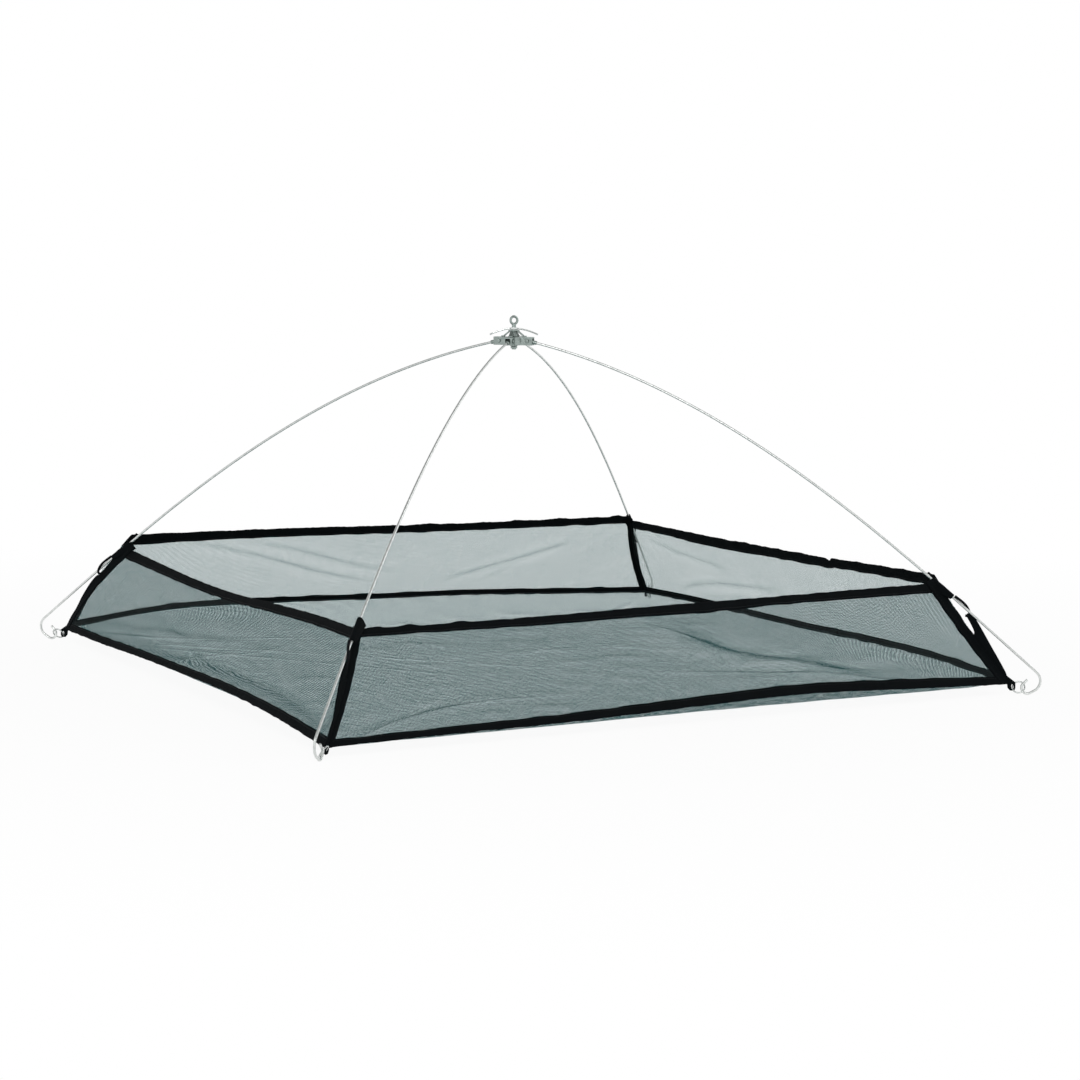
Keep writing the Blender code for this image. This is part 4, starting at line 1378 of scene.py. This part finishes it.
def bonded_sewing_thread(colours):
    """Bonded nylon thread: darker than the eye expects, with a faint waxy shine."""
    made, tree = new_material("bonded_sewing_thread")
    coords = add_node(tree, "ShaderNodeTexCoord")
    twist = add_node(
        tree, "ShaderNodeTexNoise",
        inputs={"Vector": coords.outputs["Object"], "Scale": 900.0, "Detail": 2.0},
    )
    tone = add_node(tree, "ShaderNodeValToRGB", inputs={"Fac": twist.outputs["Fac"]})
    tone.color_ramp.elements[0].color = rgba(shade(colours.thread, 0.7))
    tone.color_ramp.elements[1].color = rgba(shade(colours.thread, 1.3))
    shader = add_node(
        tree, "ShaderNodeBsdfPrincipled",
        inputs={
            "Base Color": tone.outputs["Color"],
            "Roughness": 0.6,
            "IOR": 1.53,
            "Specular IOR Level": 0.2,
        },
    )
    finish_with(tree, shader)
    return made


def braided_cord(colours):
    """Thin braided polyester cord: black with a diagonal plait, painted lighter on the plaits' crowns and darker with
    painted shade in the grooves between them.
    """
    made, tree = new_material("braided_cord")
    coords = add_node(tree, "ShaderNodeTexCoord")
    plaits = add_node(
        tree, "ShaderNodeTexVoronoi", {"feature": "F1"},
        {"Vector": coords.outputs["Object"], "Scale": 900.0},
    )
    # Painted shade: the colour is lighter on each plait's crown and darker in the grooves between the plaits, where the
    # bump lies low.
    tone = add_node(tree, "ShaderNodeValToRGB", inputs={"Fac": plaits.outputs["Distance"]})
    tone.color_ramp.elements[0].color = rgba(shade(colours.cord, 1.5))
    tone.color_ramp.elements[1].color = rgba(shade(colours.cord, 0.6))
    bump = add_node(
        tree, "ShaderNodeBump", {"invert": True},
        {"Height": plaits.outputs["Distance"], "Strength": 0.5, "Distance": 0.0003},
    )
    shader = add_node(
        tree, "ShaderNodeBsdfPrincipled",
        inputs={
            "Base Color": tone.outputs["Color"],
            "Normal": bump.outputs["Normal"],
            "Roughness": 0.75,
            "IOR": 1.5,
            "Specular IOR Level": 0.1,
        },
    )
    finish_with(tree, shader)
    return made


def plated_metal(name, tint, rough_low, rough_high, spots):
    """A plated steel surface: a tint with cloudy patches and a fine grain in its gloss."""
    made, tree = new_material(name)
    coords = add_node(tree, "ShaderNodeTexCoord")
    clouds = add_node(
        tree, "ShaderNodeTexNoise",
        inputs={"Vector": coords.outputs["Object"], "Scale": spots, "Detail": 5.0, "Roughness": 0.6},
    )
    tone = add_node(tree, "ShaderNodeValToRGB", inputs={"Fac": clouds.outputs["Fac"]})
    tone.color_ramp.elements[0].position = 0.28
    tone.color_ramp.elements[0].color = rgba(shade(tint, 0.78))
    tone.color_ramp.elements[1].position = 0.74
    tone.color_ramp.elements[1].color = rgba(shade(tint, 1.16))
    gloss = add_node(
        tree, "ShaderNodeMapRange",
        inputs={"Value": clouds.outputs["Fac"], "From Min": 0.25, "From Max": 0.75,
                "To Min": rough_high, "To Max": rough_low},
    )
    grain = add_node(
        tree, "ShaderNodeTexNoise",
        inputs={"Vector": coords.outputs["Object"], "Scale": 1600.0, "Detail": 2.0},
    )
    bump = add_node(
        tree, "ShaderNodeBump",
        inputs={"Height": grain.outputs["Fac"], "Strength": 0.12, "Distance": 0.0001},
    )
    shader = add_node(
        tree, "ShaderNodeBsdfPrincipled",
        inputs={
            "Base Color": tone.outputs["Color"],
            "Roughness": gloss.outputs["Result"],
            "Normal": bump.outputs["Normal"],
            "Metallic": 1.0,
        },
    )
    finish_with(tree, shader)
    return made


def finishes(colours):
    """The net's materials, made once and then found again by name."""
    makers = {
        "dyed_nylon_netting": lambda: dyed_nylon_netting(colours),
        "woven_binding_tape": lambda: woven_binding_tape(colours),
        "bonded_sewing_thread": lambda: bonded_sewing_thread(colours),
        "braided_cord": lambda: braided_cord(colours),
        # Drawn spring wire, zinc-plated: even and pale grey with a soft line of light.
        "zinc_plated_spring_wire": lambda: plated_metal(
            "zinc_plated_spring_wire", colours.wire, 0.30, 0.46, 240.0
        ),
        # Pressed steel, zinc-plated: grey-green with a satin, slightly cloudy gloss.
        "zinc_plated_pressed_steel": lambda: plated_metal(
            "zinc_plated_pressed_steel", colours.steel, 0.30, 0.52, 180.0
        ),
        # Bright zinc: nearly white and smooth.
        "bright_zinc_plate": lambda: plated_metal("bright_zinc_plate", colours.bright, 0.18, 0.30, 260.0),
        # Nickel on a welded ring: clean and glossy.
        "nickel_plate": lambda: plated_metal("nickel_plate", colours.nickel, 0.14, 0.26, 300.0),
    }
    return {name: bpy.data.materials.get(name) or maker() for name, maker in makers.items()}


# Operators

class NetOperator:
    """What the operators share: the sizes and the finishes of the net."""

    bl_options = {"REGISTER", "UNDO"}

    def sizes(self, context):
        return context.scene.lift_net_sizes

    def finishes(self, context):
        return finishes(context.scene.lift_net_colours)


class LIFTNET_OT_netting(NetOperator, Operator):
    """Makes the four walls of netting and the four quarters of the floor"""

    bl_idname = "liftnet.netting"
    bl_label = "Netting"

    def execute(self, context):
        sizes = self.sizes(context)
        finish = self.finishes(context)["dyed_nylon_netting"]
        slope = wall_slope(sizes)
        # A sheet's area is that of its strands: two families, each strand_width / mesh_pitch of it.
        floor_strands = 2 * sizes.floor_strand / sizes.mesh_pitch
        for side in SIDES:
            wall_strands = 2 * sizes.strand_width * STRAND_SHARES[side] / sizes.mesh_pitch
            along, middle = side_direction(side), side_middle(side)
            wall = wall_netting(sizes, side, finish)
            attach(wall, "side_" + side, "wall_net_" + side, "netting")
            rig.sheet(
                wall, flat=(2 * HALF_BASE, slope), held="stretched",
                rests_on=["corner_tape_" + corner for corner in CORNERS if side in corner],
                area=wall_strands * slope * (HALF_BASE + sizes.top_side / 2),
            )
            floor = floor_netting(sizes, side, finish)
            attach(floor, "floor_" + side, "floor_net_" + side, "netting")
            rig.sheet(
                floor, flat=(2 * HALF_BASE, HALF_BASE), held="stretched",
                rests_on=["base_tape_" + side], area=floor_strands * HALF_BASE * HALF_BASE,
            )
            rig.squash(wall, "fold_side_" + side, along, middle, keep=WALL_KEEP)
            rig.squash(floor, "fold_floor_" + side, along, middle, keep=FLOOR_KEEP)
        return {"FINISHED"}


class LIFTNET_OT_tapes(NetOperator, Operator):
    """Makes the upper and lower edge tapes with their stitches"""

    bl_idname = "liftnet.tapes"
    bl_label = "Edge tapes"

    def execute(self, context):
        sizes = self.sizes(context)
        made = self.finishes(context)
        for side in SIDES:
            for level, node, keep in (
                ("upper", "top_tape_", UPPER_TAPE_KEEP),
                ("lower", "base_tape_", LOWER_TAPE_KEEP),
            ):
                tape = edge_tape(
                    sizes, side, level, made["woven_binding_tape"], made["bonded_sewing_thread"]
                )
                attach(tape, "side_" + side, node + side, "tape")
                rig.squash(tape, "fold_side_" + side, side_direction(side), side_middle(side), keep=keep)
        return {"FINISHED"}


class LIFTNET_OT_corners(NetOperator, Operator):
    """Makes the corner tapes, cord loops and rings"""

    bl_idname = "liftnet.corners"
    bl_label = "Corners"

    def execute(self, context):
        sizes = self.sizes(context)
        made = self.finishes(context)
        route = cord_route(sizes)
        cord = tube("cord", route, sizes.cord / 2, sides=12)
        smooth(cord, 60)
        paint(cord, made["braided_cord"])
        ring = corner_ring(sizes)
        paint(ring, made["nickel_plate"])
        long = sum((Vector(b) - Vector(a)).length for a, b in zip(route, route[1:]))
        for corner, bearing in CORNERS.items():
            own_tape = corner_tape(
                sizes, corner, made["woven_binding_tape"], made["bonded_sewing_thread"]
            )
            attach(own_tape, "arm_" + corner, "corner_tape_" + corner, "tape")
            own_cord = turned_copy(cord, "loop_" + corner, bearing)
            attach(own_cord, "arm_" + corner, "cord_loop_" + corner, "cord")
            turn = Matrix.Rotation(radians(bearing), 4, "Z")
            path = [tuple(turn @ Vector(p)) for p in route]
            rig.cord(
                own_cord, exit=path[0], length=long, diameter=sizes.cord, far_end="object",
                stiffness="limp", lay="hanging", path=path,
            )
            own_ring = turned_copy(ring, "corner_ring_" + corner, bearing)
            attach(own_ring, "ring_" + corner, "ring_" + corner, "ring_steel")
        for pattern in (cord, ring):
            discard(pattern)
        return {"FINISHED"}


class LIFTNET_OT_arms(NetOperator, Operator):
    """Makes the four sprung arms and the knuckles that hold them"""

    bl_idname = "liftnet.arms"
    bl_label = "Arms"

    def execute(self, context):
        made = self.finishes(context)
        wire = arm_wire(self.sizes(context))
        paint(wire, made["zinc_plated_spring_wire"])
        for corner, bearing in CORNERS.items():
            own = turned_copy(wire, "spring_arm_" + corner, bearing)
            attach(own, "arm_" + corner, "arm_" + corner, "spring_steel")
            knuckle = finished_copy("knuckle_" + corner, "arm_knuckle_" + corner, 0.0003)
            paint(knuckle, made["zinc_plated_pressed_steel"])
            attach(knuckle, "arm_" + corner, "knuckle_" + corner, "zinc_steel")
        discard(wire)
        return {"FINISHED"}


class LIFTNET_OT_hub(NetOperator, Operator):
    """Makes the crown, its rivets, the eye bolt, nuts, washer, locking cap and wing nut"""

    bl_idname = "liftnet.hub"
    bl_label = "Hub"

    def execute(self, context):
        made = self.finishes(context)
        steel = made["zinc_plated_pressed_steel"]
        parts = [
            ("hub_crown", "crown", 0.0005, steel, "hub", "zinc_steel"),
            ("eye_bolt", "eye_post", 0.0002, steel, "hub", "zinc_steel"),
            ("hub_spacer", "spacer_nut", 0.0003, steel, "hub", "zinc_steel"),
            ("base_washer", "foot_washer", 0.0002, steel, "hub", "zinc_steel"),
            ("base_nut", "foot_nut", 0.0003, steel, "hub", "zinc_steel"),
            ("lock_cap", "locking_cap", 0.0002, steel, "lock_cap", "zinc_steel"),
            ("wing_nut", "long_wing_nut", 0.0002, made["bright_zinc_plate"], "wing_nut", "bright_zinc"),
        ]
        parts += [
            ("rivet_" + c, "crown_rivet_" + c, 0.0002, steel, "hub", "rivet_steel") for c in CORNERS
        ]
        for node, name, edge, finish, body, slot in parts:
            piece = finished_copy(node, name, edge)
            paint(piece, finish)
            attach(piece, body, node, slot)
        return {"FINISHED"}


class LIFTNET_OT_stage(Operator):
    """Sets up the floor, the light and the camera"""

    bl_idname = "liftnet.stage"
    bl_label = "Stage"

    def execute(self, context):
        scene = context.scene
        scene.view_settings.view_transform = "Standard"
        deselect()
        bpy.ops.mesh.primitive_plane_add(size=60)
        ground = bpy.context.object
        ground.name = "stage_floor"
        paint(ground, white_paper())
        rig.stage(ground)
        world = bpy.data.worlds.new("studio")
        world.use_nodes = True
        tree = world.node_tree
        tree.nodes.clear()
        coords = add_node(tree, "ShaderNodeTexCoord")
        parts = add_node(
            tree, "ShaderNodeSeparateXYZ", inputs={"Vector": coords.outputs["Generated"]}
        )
        # A bright room all round under a darker ceiling.
        room = add_node(
            tree, "ShaderNodeMapRange",
            inputs={"Value": parts.outputs["Z"], "From Min": 0.25, "From Max": 0.70,
                    "To Min": 1.0, "To Max": 0.32},
        )
        glow = add_node(
            tree, "ShaderNodeBackground",
            inputs={"Color": (1, 1, 1, 1), "Strength": room.outputs["Result"]},
        )
        add_node(tree, "ShaderNodeOutputWorld", inputs={"Surface": glow.outputs["Background"]})
        scene.world = world
        for name, (place, size, power) in LAMPS.items():
            lamp = bpy.data.lights.new(name, "AREA")
            lamp.shape = "DISK"
            lamp.size = size
            lamp.energy = power
            made = bpy.data.objects.new(name, lamp)
            made.location = place
            made.rotation_mode = "QUATERNION"
            made.rotation_quaternion = (-Vector(place)).to_track_quat("-Z", "Y")
            scene.collection.objects.link(made)
        add_camera(scene)
        return {"FINISHED"}


def seen_directly(tree):
    """1 for a ray from the camera, mirrored or passed on included, and 0 for one that only lights."""
    path = add_node(tree, "ShaderNodeLightPath")
    mirrored = add_node(
        tree, "ShaderNodeMath", {"operation": "MAXIMUM"},
        {0: path.outputs["Is Glossy Ray"], 1: path.outputs["Is Transmission Ray"]},
    )
    both = add_node(
        tree, "ShaderNodeMath", {"operation": "MAXIMUM"},
        {0: path.outputs["Is Camera Ray"], 1: mirrored.outputs["Value"]},
    )
    return both.outputs["Value"]


def white_paper():
    """White studio paper, which shows white to the camera and keeps a part of the shadow.

    It shows a part of its own light and shade near the net, and pure white from 1.6 m out.
    """
    made, tree = new_material("white_studio_paper")
    coords = add_node(tree, "ShaderNodeTexCoord")
    away = add_node(
        tree, "ShaderNodeVectorMath", {"operation": "LENGTH"}, {0: coords.outputs["Object"]}
    )
    white = add_node(
        tree, "ShaderNodeMapRange",
        inputs={"Value": away.outputs["Value"], "From Min": 0.6, "From Max": 1.6,
                "To Min": 0.93, "To Max": 1.0},
    )
    lit = add_node(tree, "ShaderNodeBsdfDiffuse", inputs={"Color": (0.86, 0.86, 0.86, 1.0)})
    plain = add_node(tree, "ShaderNodeEmission", inputs={"Color": (1, 1, 1, 1), "Strength": 1.0})
    share = add_node(
        tree, "ShaderNodeMath", {"operation": "MULTIPLY"},
        {0: seen_directly(tree), 1: white.outputs["Result"]},
    )
    mixed = add_node(
        tree, "ShaderNodeMixShader",
        inputs={0: share.outputs["Value"], 1: lit.outputs["BSDF"], 2: plain.outputs["Emission"]},
    )
    finish_with(tree, mixed)
    return made


def add_camera(scene):
    turn, rise, roll = CAMERA_AZIMUTH, CAMERA_ELEVATION, CAMERA_ROLL
    back = Vector((sin(turn) * cos(rise), -cos(turn) * cos(rise), sin(rise)))
    level = Vector((cos(turn), sin(turn), 0))
    upright = back.cross(level)
    across = cos(roll) * level + sin(roll) * upright
    up = cos(roll) * upright - sin(roll) * level
    place = Vector((0, 0, CAMERA_AIM_Z)) + back * CAMERA_DISTANCE
    place += across * CAMERA_SLIDE[0] + up * CAMERA_SLIDE[1]
    lens = bpy.data.cameras.new("camera")
    lens.lens = CAMERA_LENS
    lens.clip_end = 200
    camera = bpy.data.objects.new("camera", lens)
    camera.matrix_world = Matrix(
        [(across[i], up[i], back[i], place[i]) for i in range(3)] + [(0, 0, 0, 1)]
    )
    scene.collection.objects.link(camera)
    scene.camera = camera


class LIFTNET_PT_panel(Panel):
    """Lists the net's pieces, sizes and colours"""

    bl_idname = "LIFTNET_PT_panel"
    bl_label = "Umbrella lift net"
    bl_space_type = "VIEW_3D"
    bl_region_type = "UI"
    bl_category = "Lift net"

    def draw(self, context):
        column = self.layout.column()
        for operator in OPERATORS:
            column.operator(operator.bl_idname)
        for group in (context.scene.lift_net_sizes, context.scene.lift_net_colours):
            for key in group.__annotations__:
                column.prop(group, key)


OPERATORS = (
    LIFTNET_OT_netting,
    LIFTNET_OT_tapes,
    LIFTNET_OT_corners,
    LIFTNET_OT_arms,
    LIFTNET_OT_hub,
    LIFTNET_OT_stage,
)
CLASSES = (LiftNetSizes, LiftNetColours, *OPERATORS, LIFTNET_PT_panel)


def register():
    for made in CLASSES:
        bpy.utils.register_class(made)
    bpy.types.Scene.lift_net_sizes = PointerProperty(type=LiftNetSizes)
    bpy.types.Scene.lift_net_colours = PointerProperty(type=LiftNetColours)


def unregister():
    del bpy.types.Scene.lift_net_colours
    del bpy.types.Scene.lift_net_sizes
    for made in reversed(CLASSES):
        bpy.utils.unregister_class(made)


def main():
    register()
    bpy.ops.liftnet.netting()
    bpy.ops.liftnet.tapes()
    bpy.ops.liftnet.corners()
    bpy.ops.liftnet.arms()
    bpy.ops.liftnet.hub()
    bpy.ops.liftnet.stage()
    with open("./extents.json", "w") as out:
        json.dump({"cad": [list(p) for p in CAD_BOX], "visual": [list(p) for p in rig.bounds()]}, out)


if __name__ == "__main__":
    main()
